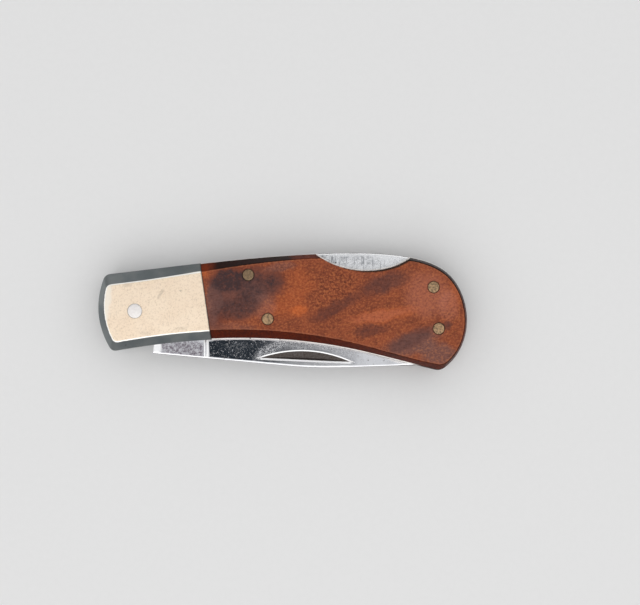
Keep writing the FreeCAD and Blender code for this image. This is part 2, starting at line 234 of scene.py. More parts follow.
print("masks and coats ready")

# %% [markdown]
# A material starts the same way each time: a Principled shader and a way to read where a point lies on the
# piece. Object coordinates are in metres, so they are scaled to millimetres once, and every pattern size
# after that can be written as it would be measured on the knife. It ends the same way too, with a colour, a
# roughness and a height for the shader.

# %% Start and end of a material


def new_material(name):
    """A new material with its tree and its Principled shader."""
    material = bpy.data.materials.new(name)
    material.use_nodes = True
    tree = material.node_tree
    tree.nodes.clear()
    shader = tree.nodes.new("ShaderNodeBsdfPrincipled")
    output = tree.nodes.new("ShaderNodeOutputMaterial")
    tree.links.new(shader.outputs["BSDF"], output.inputs["Surface"])
    return material, tree, shader


def place_and_facing(tree):
    """The point on the piece in millimetres, and the X, Y and Z of the way that its surface faces."""
    coordinates = tree.nodes.new("ShaderNodeTexCoord").outputs
    place = vector_maths(tree, "MULTIPLY", coordinates["Object"], (1 / MM,) * 3)
    return place, split(tree, coordinates["Normal"])


def end_material(tree, shader, colour, roughness, height, depth, metallic=1.0):
    """Links a finish to its shader. The height, from 0 to 1, stands up by a depth in millimetres."""
    raised = add(tree, "ShaderNodeBump", {"Height": height, "Distance": depth * MM})
    tree.links.new(colour, shader.inputs["Base Color"])
    tree.links.new(roughness, shader.inputs["Roughness"])
    tree.links.new(raised.outputs["Normal"], shader.inputs["Normal"])
    shader.inputs["Metallic"].default_value = metallic


print("material helpers ready")

# %% [markdown]
# Some effects come back in several materials: scratches, specks, dirt and soft patches. Each is a node
# group with named inputs, built once. A material places the group with its own values and takes its mask.

# %% Shared effects
FLOAT = "NodeSocketFloat"
VECTOR = "NodeSocketVector"


def new_group(name, inputs, output=("Mask", FLOAT), kind="ShaderNodeTree"):
    """A node group with one output. Inputs are (name, socket type, default value)."""
    tree = bpy.data.node_groups.new(name, kind)
    for label, socket_type, default in inputs:
        socket = tree.interface.new_socket(label, in_out="INPUT", socket_type=socket_type)
        if default is not None:
            socket.default_value = default
    tree.interface.new_socket(output[0], in_out="OUTPUT", socket_type=output[1])
    start = tree.nodes.new("NodeGroupInput")
    end = tree.nodes.new("NodeGroupOutput")
    return tree, start.outputs, end.inputs[0]


def use(tree, group, **values):
    """The mask of a shared effect. A value's name is its input's name with underscores for spaces."""
    named = {key.replace("_", " "): value for key, value in values.items()}
    return add(tree, "ShaderNodeGroup", named, node_tree=group).outputs["Mask"]


print("groups can be made and used")

# %% [markdown]
# Carried metal picks up hairline scratches that run mostly one way. They could be painted, but a noise that
# is squeezed across and stretched along a direction gives thousands of them for nothing. A second, coarse
# noise lets them come and go in patches, which is what keeps them from looking like a printed pattern.

# %% Hairline scratches


def make_hairlines():
    """Thin lines along a turned direction, in patches. Rise is how far they run on up an upright face."""
    inputs = [
        ("Place", VECTOR, None),
        ("Turn", FLOAT, 0.0),
        ("Length", FLOAT, 4.0),
        ("Spacing", FLOAT, 0.1),
        ("Rise", FLOAT, 0.1),
        ("Cover", FLOAT, 0.5),
    ]
    tree, given, result = new_group("hairlines", inputs)
    size = combine(tree, X=given["Length"], Y=given["Spacing"], Z=given["Rise"])
    squeezed = vector_maths(tree, "DIVIDE", turned(tree, given["Place"], given["Turn"]), size)
    lines = ramp(tree, noise(tree, squeezed, 1.0, detail=1.0, distortion=0.2), 0.58, 0.72)
    bare = minus(tree, 1.0, given["Cover"])
    spots = noise(tree, given["Place"], 0.35, detail=1.0)
    shown = ramp(tree, spots, minus(tree, bare, 0.15), maths(tree, "ADD", bare, 0.15))
    tree.links.new(times(tree, lines, shown), result)
    return tree


HAIRLINES = make_hairlines()


def scratches(tree, place, strokes, turn=0.0, rise=0.1):
    """The strongest of several hairlines. A stroke is (turn, length, spacing, cover, strength)."""
    masks = []
    for own_turn, length, spacing, cover, strength in strokes:
        size = {"Length": length, "Spacing": spacing, "Rise": rise}
        lines = use(tree, HAIRLINES, Place=place, Turn=turn + own_turn, Cover=cover, **size)
        masks.append(times(tree, lines, strength))
    return most(tree, *masks)


print("group", HAIRLINES.name)

# %% [markdown]
# Old steel has pits and worn brass has specks: small round marks, scattered, each with its own size.
# Voronoi cells place one mark in each cell, and a random number per cell decides which cells stay empty.

# %% Pits and specks


def make_specks():
    """Round marks in some of the cells of a given size."""
    inputs = [("Place", VECTOR, None), ("Size", FLOAT, 0.5), ("Cover", FLOAT, 0.2)]
    tree, given, result = new_group("specks", inputs)
    scale = maths(tree, "DIVIDE", 1.0, given["Size"])
    cells = add(tree, "ShaderNodeTexVoronoi", {"Vector": given["Place"], "Scale": scale}).outputs
    lot = add(tree, "ShaderNodeSeparateColor", {0: cells["Color"]}).outputs
    reach = scaled_sum(tree, lot["Green"], 0.25, 0.15)
    mark = ramp(tree, cells["Distance"], reach, times(tree, reach, 0.4))
    chosen = maths(tree, "LESS_THAN", lot["Red"], given["Cover"])
    tree.links.new(times(tree, mark, chosen), result)
    return tree


SPECKS = make_specks()
print("group", SPECKS.name)

# %% [markdown]
# Pocket dirt settles where two pieces meet: in the seam behind the bolster and in the ring round each pin.
# Both are lines at a known distance from a landmark, so one group darkens a band round a distance of zero
# and breaks it up with noise. The same band also lays painted shade in the thumb scoop.

# %% Pocket dirt and painted shade


def make_dirt_and_shade():
    """A broken dark band where a distance is near zero: dirt in joints, and painted shade in the thumb
    scoop.
    """
    inputs = [("Place", VECTOR, None), ("Distance", FLOAT, 0.0), ("Width", FLOAT, 0.3)]
    tree, given, result = new_group("pocket_dirt_and_shade", inputs)
    away = maths(tree, "ABSOLUTE", given["Distance"])
    ragged = scaled_sum(tree, noise(tree, given["Place"], 1.6, detail=3.0), 1.4, 0.3)
    width = times(tree, given["Width"], ragged)
    tree.links.new(ramp(tree, away, 0.0, width, 1.0, 0.0), result)
    return tree


DIRT_AND_SHADE = make_dirt_and_shade()


def from_axis(tree, place, centre, size):
    """The distance from a circle round an upright axis, in millimetres. The size is its radius."""
    level = vector_maths(tree, "MULTIPLY", place, (1, 1, 0))
    away = vector_maths(tree, "DISTANCE", level, (centre.x, centre.y, 0), output="Value")
    return minus(tree, away, size)


def from_line(tree, place, foot, head):
    """The distance from an upright plane through two points, in millimetres, positive on its right."""
    along = (head - foot).normalized()
    across = Vector((along.y, -along.x, 0))
    step = vector_maths(tree, "SUBTRACT", place, foot)
    return vector_maths(tree, "DOT_PRODUCT", step, across, output="Value")


print("group", DIRT_AND_SHADE.name)

# %% [markdown]
# Some marks have a place of their own: a smudge on the bolster, a scuff on the blade, a smoky cloud in the
# wood. Plain noise would scatter them anywhere. So each is a soft ellipse, and the place that it reads can
# be pushed about by noise first, which frays the ellipse.

# %% Soft patches
FAR_DEPTH = 1000.0


def make_patch():
    """A soft ellipse: full at its middle, gone a little beyond its half length and half width."""
    inputs = [
        ("Place", VECTOR, None),
        ("Centre", VECTOR, (0, 0, 0)),
        ("Turn", FLOAT, 0.0),
        ("Half Length", FLOAT, 3.0),
        ("Half Width", FLOAT, 1.5),
    ]
    tree, given, result = new_group("soft_patch", inputs)
    step = vector_maths(tree, "SUBTRACT", given["Place"], given["Centre"])
    straight = turned(tree, step, times(tree, given["Turn"], -1.0))
    size = combine(tree, X=given["Half Length"], Y=given["Half Width"], Z=FAR_DEPTH)
    away = vector_maths(tree, "LENGTH", vector_maths(tree, "DIVIDE", straight, size), output="Value")
    tree.links.new(ramp(tree, away, 0.5, 1.25, 1.0, 0.0), result)
    return tree


PATCH = make_patch()


def patches(tree, place, spots):
    """The sum of patches, up to 1. A spot is (x, y, half length, half width, turn in degrees, strength)."""
    total = 0.0
    for x, y, half_length, half_width, turn, strength in spots:
        size = {"Half_Length": half_length, "Half_Width": half_width, "Turn": math.radians(turn)}
        mask = use(tree, PATCH, Place=place, Centre=(x, y, 0), **size)
        total = scaled_sum(tree, mask, strength, total)
    return maths(tree, "MINIMUM", total, 1.0)


def frayed(tree, place, scale, push):
    """The place pushed about by noise, up to half the push each way."""
    drift = noise(tree, place, scale, detail=5.0, roughness=0.62, output="Color")
    back = (-push / 2, -push / 2, 0)
    return vector_maths(tree, "ADD", place, vector_maths(tree, "MULTIPLY_ADD", drift, (push, push, 0), back))


print("group", PATCH.name)

# %% [markdown]
# The light is a white tent: bright overhead and dark towards the horizon, so that flat faces shine and the
# sloped edges of the handle stay dark, as they do in the photograph. A softbox on the belly's side lights
# the lower bevels a little more than the upper ones.

# %% Light
TENT_TOP = 1.06
TENT_HORIZON = 0.08
TENT_RISE = 0.75
SOFTBOX_PLACE = Vector((-60.0, -420.0, 620.0))
SOFTBOX_SIZE = 700.0
SOFTBOX_POWER = 0.7


def make_tent():
    """A tent of white cloth: bright above, dark at the horizon."""
    world = bpy.data.worlds.new("tent")
    world.use_nodes = True
    tree = world.node_tree
    direction = tree.nodes.new("ShaderNodeTexCoord").outputs["Generated"]
    level = ramp(tree, split(tree, direction)["Z"], 0.0, TENT_RISE, TENT_HORIZON, TENT_TOP)
    tree.links.new(level, tree.nodes["Background"].inputs["Color"])
    bpy.context.scene.world = world


def make_softbox():
    """A square lamp that faces the knife."""
    lamp = bpy.data.lights.new("belly_softbox", "AREA")
    lamp.shape = "SQUARE"
    lamp.size = SOFTBOX_SIZE * MM
    lamp.energy = SOFTBOX_POWER
    softbox = link("belly_softbox", lamp)
    softbox.location = SOFTBOX_PLACE * MM
    softbox.rotation_euler = (-SOFTBOX_PLACE).to_track_quat("-Z", "Y").to_euler()


make_tent()
make_softbox()
print("tent", TENT_HORIZON, "to", TENT_TOP, "softbox", SOFTBOX_POWER, "W")

# %% [markdown]
# The floor is plain pale paper. A card hangs high over the side of the handle's back, which is where the
# blade's leaning face looks. It is black at one end and grey at the other, and gives the polished steel
# something dark to mirror, as a photographer does to show that steel is bright.

# %% Floor and card
PAPER_ROUGHNESS = 0.9
PAPER_GLOSS = 0.1
FLOOR_REACH = 4000.0
FLOOR_DARK = rgb(0.788, 0.788, 0.788)
FLOOR_LIGHT = rgb(0.812, 0.812, 0.812)
CARD_LOW = (-300.0, 48.0)
CARD_HIGH = (70.0, 250.0)
CARD_HEIGHT = 700.0
CARD_STEP = 8.0
CARD_FADE = 10.0
CARD_RAG = 30.0
CARD_BLACK = rgb(0.030, 0.042, 0.056)
CARD_GREY = rgb(0.42, 0.42, 0.43)
CARD_PALE = rgb(0.85, 0.85, 0.86)


def make_sheet(name, low, high, height, material):
    """A level rectangle for the stage."""
    corners = [(low[0], low[1]), (high[0], low[1]), (high[0], high[1]), (low[0], high[1])]
    mesh = bpy.data.meshes.new(name)
    mesh.from_pydata([Vector((x, y, height)) * MM for x, y in corners], [], [(0, 1, 2, 3)])
    mesh.materials.append(material)
    sheet = link(name, mesh)
    print(sheet.name, [round(v / MM) for v in sheet.dimensions])


def make_floor_paper():
    """Matt paper with a faint unevenness."""
    material, tree, shader = new_material("floor_paper")
    place, _ = place_and_facing(tree)
    fibre = noise(tree, place, 0.8, detail=4.0)
    tree.links.new(blend(tree, fibre, FLOOR_DARK, FLOOR_LIGHT), shader.inputs["Base Color"])
    shader.inputs["Roughness"].default_value = PAPER_ROUGHNESS
    shader.inputs["Specular IOR Level"].default_value = PAPER_GLOSS
    return material


def make_graded_card():
    """Card that goes from black, through a ragged edge, to grey that grows paler along the knife."""
    material, tree, shader = new_material("graded_card")
    place, _ = place_and_facing(tree)
    along = split(tree, place)["X"]
    ragged = scaled_sum(tree, noise(tree, place, 0.06, detail=4.0), CARD_RAG, along)
    grey = blend(tree, ramp(tree, along, CARD_STEP, CARD_HIGH[0]), CARD_GREY, CARD_PALE)
    past_step = ramp(tree, ragged, CARD_STEP - CARD_FADE, CARD_STEP + CARD_FADE)
    tree.links.new(blend(tree, past_step, CARD_BLACK, grey), shader.inputs["Base Color"])
    shader.inputs["Roughness"].default_value = PAPER_ROUGHNESS
    return material


make_sheet("floor", (-FLOOR_REACH, -FLOOR_REACH), (FLOOR_REACH, FLOOR_REACH), 0.0, make_floor_paper())
make_sheet("card", CARD_LOW, CARD_HIGH, CARD_HEIGHT, make_graded_card())

# %% [markdown]
# The frame's meshes are loose triangles with knife-sharp edges. Real edges are broken with a stone, and
# that thin facet is what catches the light. So a piece that keeps its frame's shape starts as a copy of the
# frame's mesh, with the points welded and the triangles joined into whole faces. It is held in millimetres,
# because the bevel tool rounds off lengths as small as these when they are in metres.

# %% Copies of frame meshes
BEVEL_WEIGHT = "bevel_weight_edge"
WELD = 0.001
FLAT = math.radians(0.2)


def joined_copy(node, weld=WELD):
    """A frame mesh in millimetres, its points welded and its triangles joined into whole faces."""
    work = bmesh.new()
    work.from_mesh(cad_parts[node].data)
    bmesh.ops.scale(work, vec=(1 / MM,) * 3, verts=work.verts)
    bmesh.ops.remove_doubles(work, verts=work.verts, dist=weld)
    bmesh.ops.dissolve_limit(work, angle_limit=FLAT, verts=work.verts, edges=work.edges)
    work.edges.layers.float.new(BEVEL_WEIGHT)
    return work


print("points within", WELD, "mm are welded")

# %% [markdown]
# Not every edge can be eased. Where two sharp edges meet in a thin corner, or where an edge is tiny, a
# bevel would shoot out of the piece, so those edges are left alone. The others carry their width as a
# weight, because one Bevel modifier can then cut facets of several widths at once.

# %% Edges to ease
SHARP = math.radians(28)
ACUTE = math.radians(50)
SHORT = 0.06


def pinched(vert, edges):
    """True where two sharp edges meet in a corner too thin to bevel."""
    ways = [(e.other_vert(vert).co - vert.co).normalized() for e in vert.link_edges if e in edges]
    return any(a.angle(b) < ACUTE for i, a in enumerate(ways) for b in ways[:i])


def sharp_edges(work):
    """The sharp edges, without those that end in a thin or tiny corner."""
    sharp = {e for e in work.edges if len(e.link_faces) == 2 and e.calc_face_angle() > SHARP}
    thin = {v for e in sharp for v in e.verts if e.calc_length() < SHORT or pinched(v, sharp)}
    return [e for e in sharp if not thin.intersection(e.verts)]


def weigh(work, widths, widest):
    """Writes each edge's share of the widest bevel, where the modifier reads it."""
    weight = work.edges.layers.float[BEVEL_WEIGHT]
    for edge, width in widths.items():
        edge[weight] = width / widest


print("edges over", round(math.degrees(SHARP)), "degrees are eased")

# %% [markdown]
# The bevels are cut while the piece is still in millimetres. After that, weighted normals keep the large
# faces flat while the small facets turn smoothly, and the piece shrinks to metres.

# %% Bevels and smooth shading
EASE_STEPS = 2
SMOOTH = math.radians(38)


def plain_mesh(thing):
    """The shape that an object's modifiers give, as a plain mesh of the same name."""
    graph = bpy.context.evaluated_depsgraph_get()
    mesh = bpy.data.meshes.new_from_object(thing.evaluated_get(graph), depsgraph=graph)
    mesh.name = thing.name
    return mesh


def settle(piece):
    """Runs the piece's modifiers and keeps their result."""
    mesh = plain_mesh(piece)
    piece.modifiers.clear()
    piece.data = mesh


def finish_mesh(work, name, material, widest):
    """Turns the work into a piece in metres, with bevels and with smooth shading between sharp edges."""
    mesh = bpy.data.meshes.new(name)
    work.to_mesh(mesh)
    work.free()
    for attribute in [a for a in mesh.attributes if a.name == "custom_normal"]:
        mesh.attributes.remove(attribute)
    mesh.materials.clear()
    mesh.materials.append(material)
    piece = link(name, mesh)
    bevel = piece.modifiers.new("ease", "BEVEL")
    bevel.limit_method = "WEIGHT"
    bevel.width = widest
    bevel.segments = EASE_STEPS
    bevel.use_clamp_overlap = False
    settle(piece)
    piece.data.shade_smooth()
    piece.data.set_sharp_from_angle(angle=SMOOTH)
    weights = piece.modifiers.new("weights", "WEIGHTED_NORMAL")
    weights.keep_sharp = True
    settle(piece)
    piece.data.transform(Matrix.Scale(MM, 4))
    return piece


print("bevels have", EASE_STEPS, "steps")

# %% [markdown]
# A dressed piece moves with the body that carries it and stands for its frame piece, which is hidden. Its
# edges share one width, but those along the back can be eased more, because palms rub there.

# %% Dressing a frame piece
BACK_Y = PIVOT.y + 9.0
BACKWARD = 0.5
LEVEL = 0.9


def belong(piece, body, slot, *nodes):
    """Ties a piece to its body and hides the frame pieces that it stands for. Its slot is not used."""
    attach(piece, body)
    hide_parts(*nodes)
    print(piece.name, len(piece.data.polygons), "faces")


def on_back(edge):
    """True where a level face meets the back."""
    upright, level = sorted(edge.link_faces, key=lambda face: abs(face.normal.z))
    outer = min(vert.co.y for vert in edge.verts) > BACK_Y
    return outer and upright.normal.y > BACKWARD and abs(level.normal.z) > LEVEL


def dress(node, material, slot, width, body="handle", back_width=None, weld=WELD):
    """The shown copy of a frame piece, with its sharp edges eased."""
    work = joined_copy(node, weld)
    back_width = back_width or width
    widest = max(back_width, width)
    weigh(work, {edge: back_width if on_back(edge) else width for edge in sharp_edges(work)}, widest)
    belong(finish_mesh(work, node + "_dressed", material, widest), body, slot, node)


print("the back starts at y", round(BACK_Y, 2))

# %% [markdown]
# The bolsters are nickel silver, a pale alloy with a warm cast. Their flats are rubbed to a fine, even
# grain by years in a pocket. Their slopes are painted dark grey as painted shade, and the rounded rim of
# each flat is painted near white as a painted highlight. The way the surface faces tells these apart, so
# they need no places. Strips along the rims, which are partly rubbed wear and partly painted highlight, do
# have places. Dirt sits along the seam with the wood and in a faint ring round the pivot pin.

# %% Nickel silver
NICKEL_FLAT = rgb(0.98, 0.82, 0.645)
NICKEL_WARM = rgb(0.95, 0.78, 0.605)
NICKEL_GRAIN = rgb(0.50, 0.36, 0.24)
NICKEL_RUB_AND_HIGHLIGHT = rgb(0.97, 0.90, 0.79)
# Painted highlight for the rounded rims, and painted shade for the slopes:
NICKEL_RIM_HIGHLIGHT = rgb(0.97, 0.95, 0.90)
NICKEL_SLOPE_SHADE = rgb(0.20, 0.225, 0.235)
NICKEL_SLOPE_SHADE_PALE = rgb(0.29, 0.31, 0.31)
NICKEL_MARK = rgb(0.30, 0.25, 0.20)
NICKEL_PIT = rgb(0.06, 0.06, 0.06)
NICKEL_DIRT = rgb(0.10, 0.08, 0.06)
NICKEL_DIRT_WIDTH = 0.22
SEAM_FOOT = PIVOT + Vector((16.14, -6.11, 0))
SEAM_HEAD = PIVOT + Vector((13.8, 10.1, 0))
NICKEL_SCRATCHES = [(0.5, 3.0, 0.07, 0.35, 0.35), (1.5, 1.6, 0.16, 0.45, 0.35)]
SMUDGES = [
    (-32.9, 5.6, 1.1, 0.5, 10, 0.45),
    (-25.8, 3.7, 1.3, 0.4, 60, 0.55),
    (-21.5, -3.6, 1.6, 0.4, 5, 0.35),
    (-29.0, -4.6, 1.4, 0.5, 0, 0.30),
]
# Strips along the front, lower and upper rims of the flat: rubbed wear and painted highlight.
RIM_RUB_AND_HIGHLIGHT = [
    (-37.6, 1.6, 7.0, 1.3, 84, 0.8),
    (-24.0, -6.4, 9.0, 0.7, 7, 0.5),
    (-27.0, 8.2, 10.0, 0.6, 6.5, 0.5),
]


def nickel_dirt(tree, place):
    """Dirt along the seam, and less of it round the pivot pin."""
    gaps = [from_line(tree, place, SEAM_FOOT, SEAM_HEAD), from_axis(tree, place, PIVOT, PIVOT_RADIUS)]
    seam, ring = [use(tree, DIRT_AND_SHADE, Place=place, Distance=gap, Width=NICKEL_DIRT_WIDTH) for gap in gaps]
    return most(tree, times(tree, seam, 0.8), times(tree, ring, 0.4))


def make_nickel():
    material, tree, shader = new_material("nickel_silver")
    place, facing = place_and_facing(tree)
    level = maths(tree, "ABSOLUTE", facing["Z"])
    # The rounded rim of each flat, which is painted near white as a painted highlight.
    rim = times(tree, ramp(tree, level, 0.9995, 0.993), ramp(tree, level, 0.85, 0.90))
    grain = noise(tree, place, 2.7, detail=4.0, roughness=0.72)
    cloud = noise(tree, place, 0.20, detail=3.0)
    knocks = use(tree, SPECKS, Place=place, Size=0.9, Cover=0.04)
    marks = most(tree, scratches(tree, place, NICKEL_SCRATCHES), knocks)
    # The slopes' colour is painted shade: a dark grey with paler clouds, and real pits in it.
    slope_shade = coats(
        tree, NICKEL_SLOPE_SHADE,
        (ramp(tree, cloud, 0.3, 0.7), 1.0, NICKEL_SLOPE_SHADE_PALE),
        (knocks, 1.0, NICKEL_PIT),
    )
    colour = coats(
        tree, NICKEL_WARM,
        (ramp(tree, cloud, 0.35, 0.65), 1.0, NICKEL_FLAT),
        (ramp(tree, grain, 0.44, 0.76), 0.5, NICKEL_GRAIN),
        (patches(tree, frayed(tree, place, 1.2, 1.2), SMUDGES), 0.5, NICKEL_MARK),
        (marks, 0.5, NICKEL_MARK),
        # Rubbed wear and painted highlight along the rims.
        (patches(tree, frayed(tree, place, 0.5, 2.0), RIM_RUB_AND_HIGHLIGHT), 1.0, NICKEL_RUB_AND_HIGHLIGHT),
        (rim, 1.0, NICKEL_RIM_HIGHLIGHT),
        # The sloped faces take the painted shade.
        (ramp(tree, level, 0.90, 0.85), 1.0, slope_shade),
        (nickel_dirt(tree, place), 1.0, NICKEL_DIRT),
    )
    rough = scaled_sum(tree, marks, 0.1, scaled_sum(tree, grain, 0.18, 0.28))
    end_material(tree, shader, colour, rough, minus(tree, grain, marks), depth=0.008)
    return material


NICKEL = make_nickel()
print("material", NICKEL.name, "with", len(NICKEL.node_tree.nodes), "nodes")

# %% [markdown]
# The bolsters are the metal caps that carry the pivot pin at the handle's front. They could be modelled
# afresh, but the frame's meshes have the right shape already, so eased copies are enough. Their slopes meet
# in slivers that are too thin for a bevel, and a coarser weld closes those before the edges are eased.

# %% Bolsters
SLIVER = 0.05
BOLSTER_EASE = 0.05

for side in ("mark", "pile"):
    dress(side + "_bolster", NICKEL, "bolster_metal", BOLSTER_EASE, weld=SLIVER)

# %% [markdown]
# The scales are a dense tropical wood under a satin finish: orange-brown, with smoky dark clouds and ember
# streaks that drift across the grain. Plain noise would put them anywhere, so each cloud and streak is a
# soft patch at its own place, listed here tone by tone.

# %% Figure of the wood
SMOKE = [
    (-11.6, 6.7, 3.8, 2.2, 0, 0.62),
    (-7.4, 6.1, 7.6, 3.4, -3, 0.58),
    (-5.8, 5.6, 4.2, 2.6, 0, 0.16),
    (-1.6, 6.6, 1.6, 2.6, 0, 0.28),
    (-9.2, 0.9, 4.6, 2.7, 15, 0.72),
    (-13.6, 3.4, 2.4, 4.2, 0, 0.35),
    (-14.2, -1.9, 2.2, 2.4, 0, 0.30),
    (21.4, 6.0, 5.6, 2.1, 22, 0.48),
    (11.2, 0.8, 6.4, 1.4, 30, 0.46),
    (18.6, -4.1, 3.8, 1.3, 10, 0.46),
    (26.8, -5.9, 5.8, 1.8, 28, 0.46),
    (34.9, -2.9, 1.2, 1.0, 20, 0.55),
]
ASH = [
    (-9.6, 3.2, 7.6, 4.6, -6, 0.70),
    (-0.6, 9.4, 3.4, 1.1, 8, 0.60),
    (22.0, 6.2, 5.4, 2.2, 18, 0.30),
    (-14.6, 1.2, 1.8, 5.4, -6, 0.80),
    (27.4, -6.6, 6.6, 2.6, 20, 0.85),
    (33.0, -9.2, 5.0, 2.6, -10, 0.90),
    (-10.4, -3.4, 5.0, 1.3, 0, 0.40),
    (-4.4, 5.4, 4.4, 3.8, 10, 0.35),
]
EMBER = [
    (3.4, 0.1, 2.0, 1.3, 15, 0.75),
    (1.2, 1.6, 4.6, 3.0, 20, 0.40),
    (21.6, -0.8, 7.6, 1.5, 10, 0.72),
    (-16.4, 8.6, 1.2, 1.7, 0, 0.70),
    (36.4, 3.6, 2.0, 3.8, -20, 0.40),
    (4.2, 6.4, 2.6, 3.4, 60, 0.30),
]
ROSE = [
    (30.4, 3.6, 5.0, 5.2, 0, 0.60),
    (35.2, 1.4, 2.2, 3.6, 0, 0.60),
    (21.0, -0.9, 7.0, 1.2, 10, 0.40),
    (-3.2, 0.4, 1.8, 2.4, -30, 0.40),
]
FLECKED = [
    (11.0, 4.4, 6.0, 5.2, 15, 1.00),
    (-9.2, 0.9, 4.4, 2.6, 20, 0.80),
    (21.4, 6.0, 5.6, 2.2, 22, 0.70),
    (18.6, -4.1, 4.0, 1.6, 10, 0.70),
    (35.4, -1.6, 1.8, 2.2, 0, 0.60),
]
print("wood has", len(SMOKE), "clouds of smoke and", len(EMBER), "embers")

# %% [markdown]
# The tones are laid over each other as coats: embers, rose, ash and smoke over the ground. Their places are
# frayed by noise first, so that the ellipses turn into smoke. Last come the fine things: pale fibres where
# there is little smoke, dashes along the grain, which are the pores, and dark flecks, thick in a few
# places.

# %% Colours of the wood
GRAIN_TURN = math.radians(14)
PORES = [(-GRAIN_TURN, 1.3, 0.2, 0.62, 0.5)]
WOOD_MID = rgb(0.300, 0.074, 0.030)
WOOD_DEEP = rgb(0.225, 0.054, 0.024)
WOOD_EMBER = rgb(0.520, 0.116, 0.030)
WOOD_ASH = rgb(0.200, 0.086, 0.068)
WOOD_ROSE = rgb(0.420, 0.135, 0.082)
WOOD_SMOKE = rgb(0.052, 0.028, 0.029)
WOOD_PORE = rgb(0.062, 0.014, 0.008)
WOOD_PALE = rgb(0.560, 0.190, 0.060)


def wood_figure(tree, figure, fine):
    """The colour of the wood, and the mask of its dark pores and flecks."""
    drifted = frayed(tree, figure, 0.34, 3.0)
    wave = noise(tree, figure, 0.5, detail=3.0)
    uneven = minus(tree, noise(tree, figure, 1.1, detail=4.0, roughness=0.65), 0.5)
    smoke = times(tree, patches(tree, drifted, SMOKE), scaled_sum(tree, uneven, 2.2, 0.95), clamp=True)
    flecked = patches(tree, drifted, FLECKED)
    clear = minus(tree, scaled_sum(tree, flecked, 0.15, 0.3), smoke, clamp=True)
    pale = times(tree, ramp(tree, fine, 0.50, 0.38), clear)
    fleck = times(tree, use(tree, SPECKS, Place=figure, Size=0.62, Cover=0.55), flecked)
    speckle = times(tree, ramp(tree, fine, 0.47, 0.66), scaled_sum(tree, flecked, 0.35, 0.35))
    dark = most(tree, scratches(tree, figure, PORES), times(tree, fleck, 0.6), speckle)
    colour = coats(
        tree, WOOD_MID,
        (ramp(tree, wave, 0.35, 0.7), 1.0, WOOD_DEEP),
        (patches(tree, drifted, EMBER), 1.0, WOOD_EMBER),
        (patches(tree, drifted, ROSE), 1.0, WOOD_ROSE),
        (patches(tree, drifted, ASH), 1.0, WOOD_ASH),
        (smoke, 1.0, WOOD_SMOKE),
        (pale, 1.0, WOOD_PALE),
        (dark, 1.0, WOOD_PORE),
    )
    return colour, dark


print("pores run at", round(math.degrees(GRAIN_TURN)), "degrees")

# %% [markdown]
# The sloped edges are painted darker as painted shade, most of all where they face the back, and a few
# spots of them are left paler. Dirt lies round the pins and along the seam, and a line of painted shade lies
# in the thumb scoop and grows wider towards the rear. The dirt and the scoop's shade follow landmarks and
# the edges' shade follows the way the surface faces, so only the pale spots need places of their own.

# %% Painted shade and dirt on the wood
# Painted shade for the sloped edges: the belly's side, the back's side and its paler spots.
EDGE_SHADE_BELLY = rgb(0.30, 0.13, 0.03)
EDGE_SHADE_BACK = rgb(0.06, 0.04, 0.035)
EDGE_SHADE_PALE = rgb(0.40, 0.24, 0.15)
EDGE_PALE_SPOTS = [
    (-16.6, 9.6, 2.4, 2.0, 0, 1.00),
    (4.8, 12.0, 3.4, 2.0, 0, 1.00),
    (36.8, -3.0, 2.0, 5.0, 0, 0.80),
]
WOOD_DIRT_WIDTH = 0.3
SCOOP_MIDDLE = PIVOT + Vector((49.54, 23.9, 0))
SCOOP_RADIUS = 15.4
SCOOP_FRONT_X = SCOOP_MIDDLE.x - 3.0
SCOOP_REAR_X = SCOOP_MIDDLE.x + 7.0
# Widths of the painted shade in the thumb scoop, thin at the front and wide at the rear.
SCOOP_SHADE_THIN = 0.2
SCOOP_SHADE_WIDE = 0.6


def wood_edge_shade(tree, figure, facing):
    """Painted shade on the sloped edges: darkest where they face the back, lighter at a few spots."""
    toward_back = maths(tree, "ADD", facing["Y"], minus(tree, noise(tree, figure, 0.15), 0.5))
    back = blend(tree, patches(tree, figure, EDGE_PALE_SPOTS), EDGE_SHADE_BACK, EDGE_SHADE_PALE)
    return blend(tree, ramp(tree, toward_back, -0.2, 0.5), EDGE_SHADE_BELLY, back)


def wood_dirt_and_shade(tree, place):
    """Dirt round the pins and along the seam, and painted shade in the thumb scoop."""
    gaps = [from_axis(tree, place, middle(pin), PIN_RADIUS) for pin in (*LONG_PINS, "mark_scale_rivet")]
    gaps.append(from_line(tree, place, SEAM_FOOT, SEAM_HEAD))
    joints = most(tree, *[use(tree, DIRT_AND_SHADE, Place=place, Distance=gap, Width=WOOD_DIRT_WIDTH) for gap in gaps])
    along = split(tree, place)["X"]
    # The line in the thumb scoop is painted shade.
    scoop = from_axis(tree, place, SCOOP_MIDDLE, SCOOP_RADIUS)
    width = ramp(tree, along, SCOOP_FRONT_X, SCOOP_REAR_X, SCOOP_SHADE_THIN, SCOOP_SHADE_WIDE)
    crisp = ramp(tree, maths(tree, "ABSOLUTE", scoop), width, times(tree, width, 0.6))
    soft = use(tree, DIRT_AND_SHADE, Place=place, Distance=scoop, Width=SCOOP_SHADE_WIDE)
    return most(tree, times(tree, joints, 0.7), times(tree, crisp, 0.9), soft)


# The scoop's line is painted shade.
print("scoop's dirt from x", round(SCOOP_FRONT_X, 2), "to", round(SCOOP_REAR_X, 2))

# %% [markdown]
# Both scales come from the same plank but not from the same cut. One function makes both woods, and on the
# pile side the figure is turned end for end.

# %% Scales
WOOD_RIM_HIGHLIGHT = rgb(0.42, 0.16, 0.08)
WOOD_DIRT_AND_SHADE = rgb(0.010, 0.007, 0.005)
WOOD_GLOSS = 0.14
HANDLE_MIDDLE_X = 10.7
SCALE_EASE = 0.06


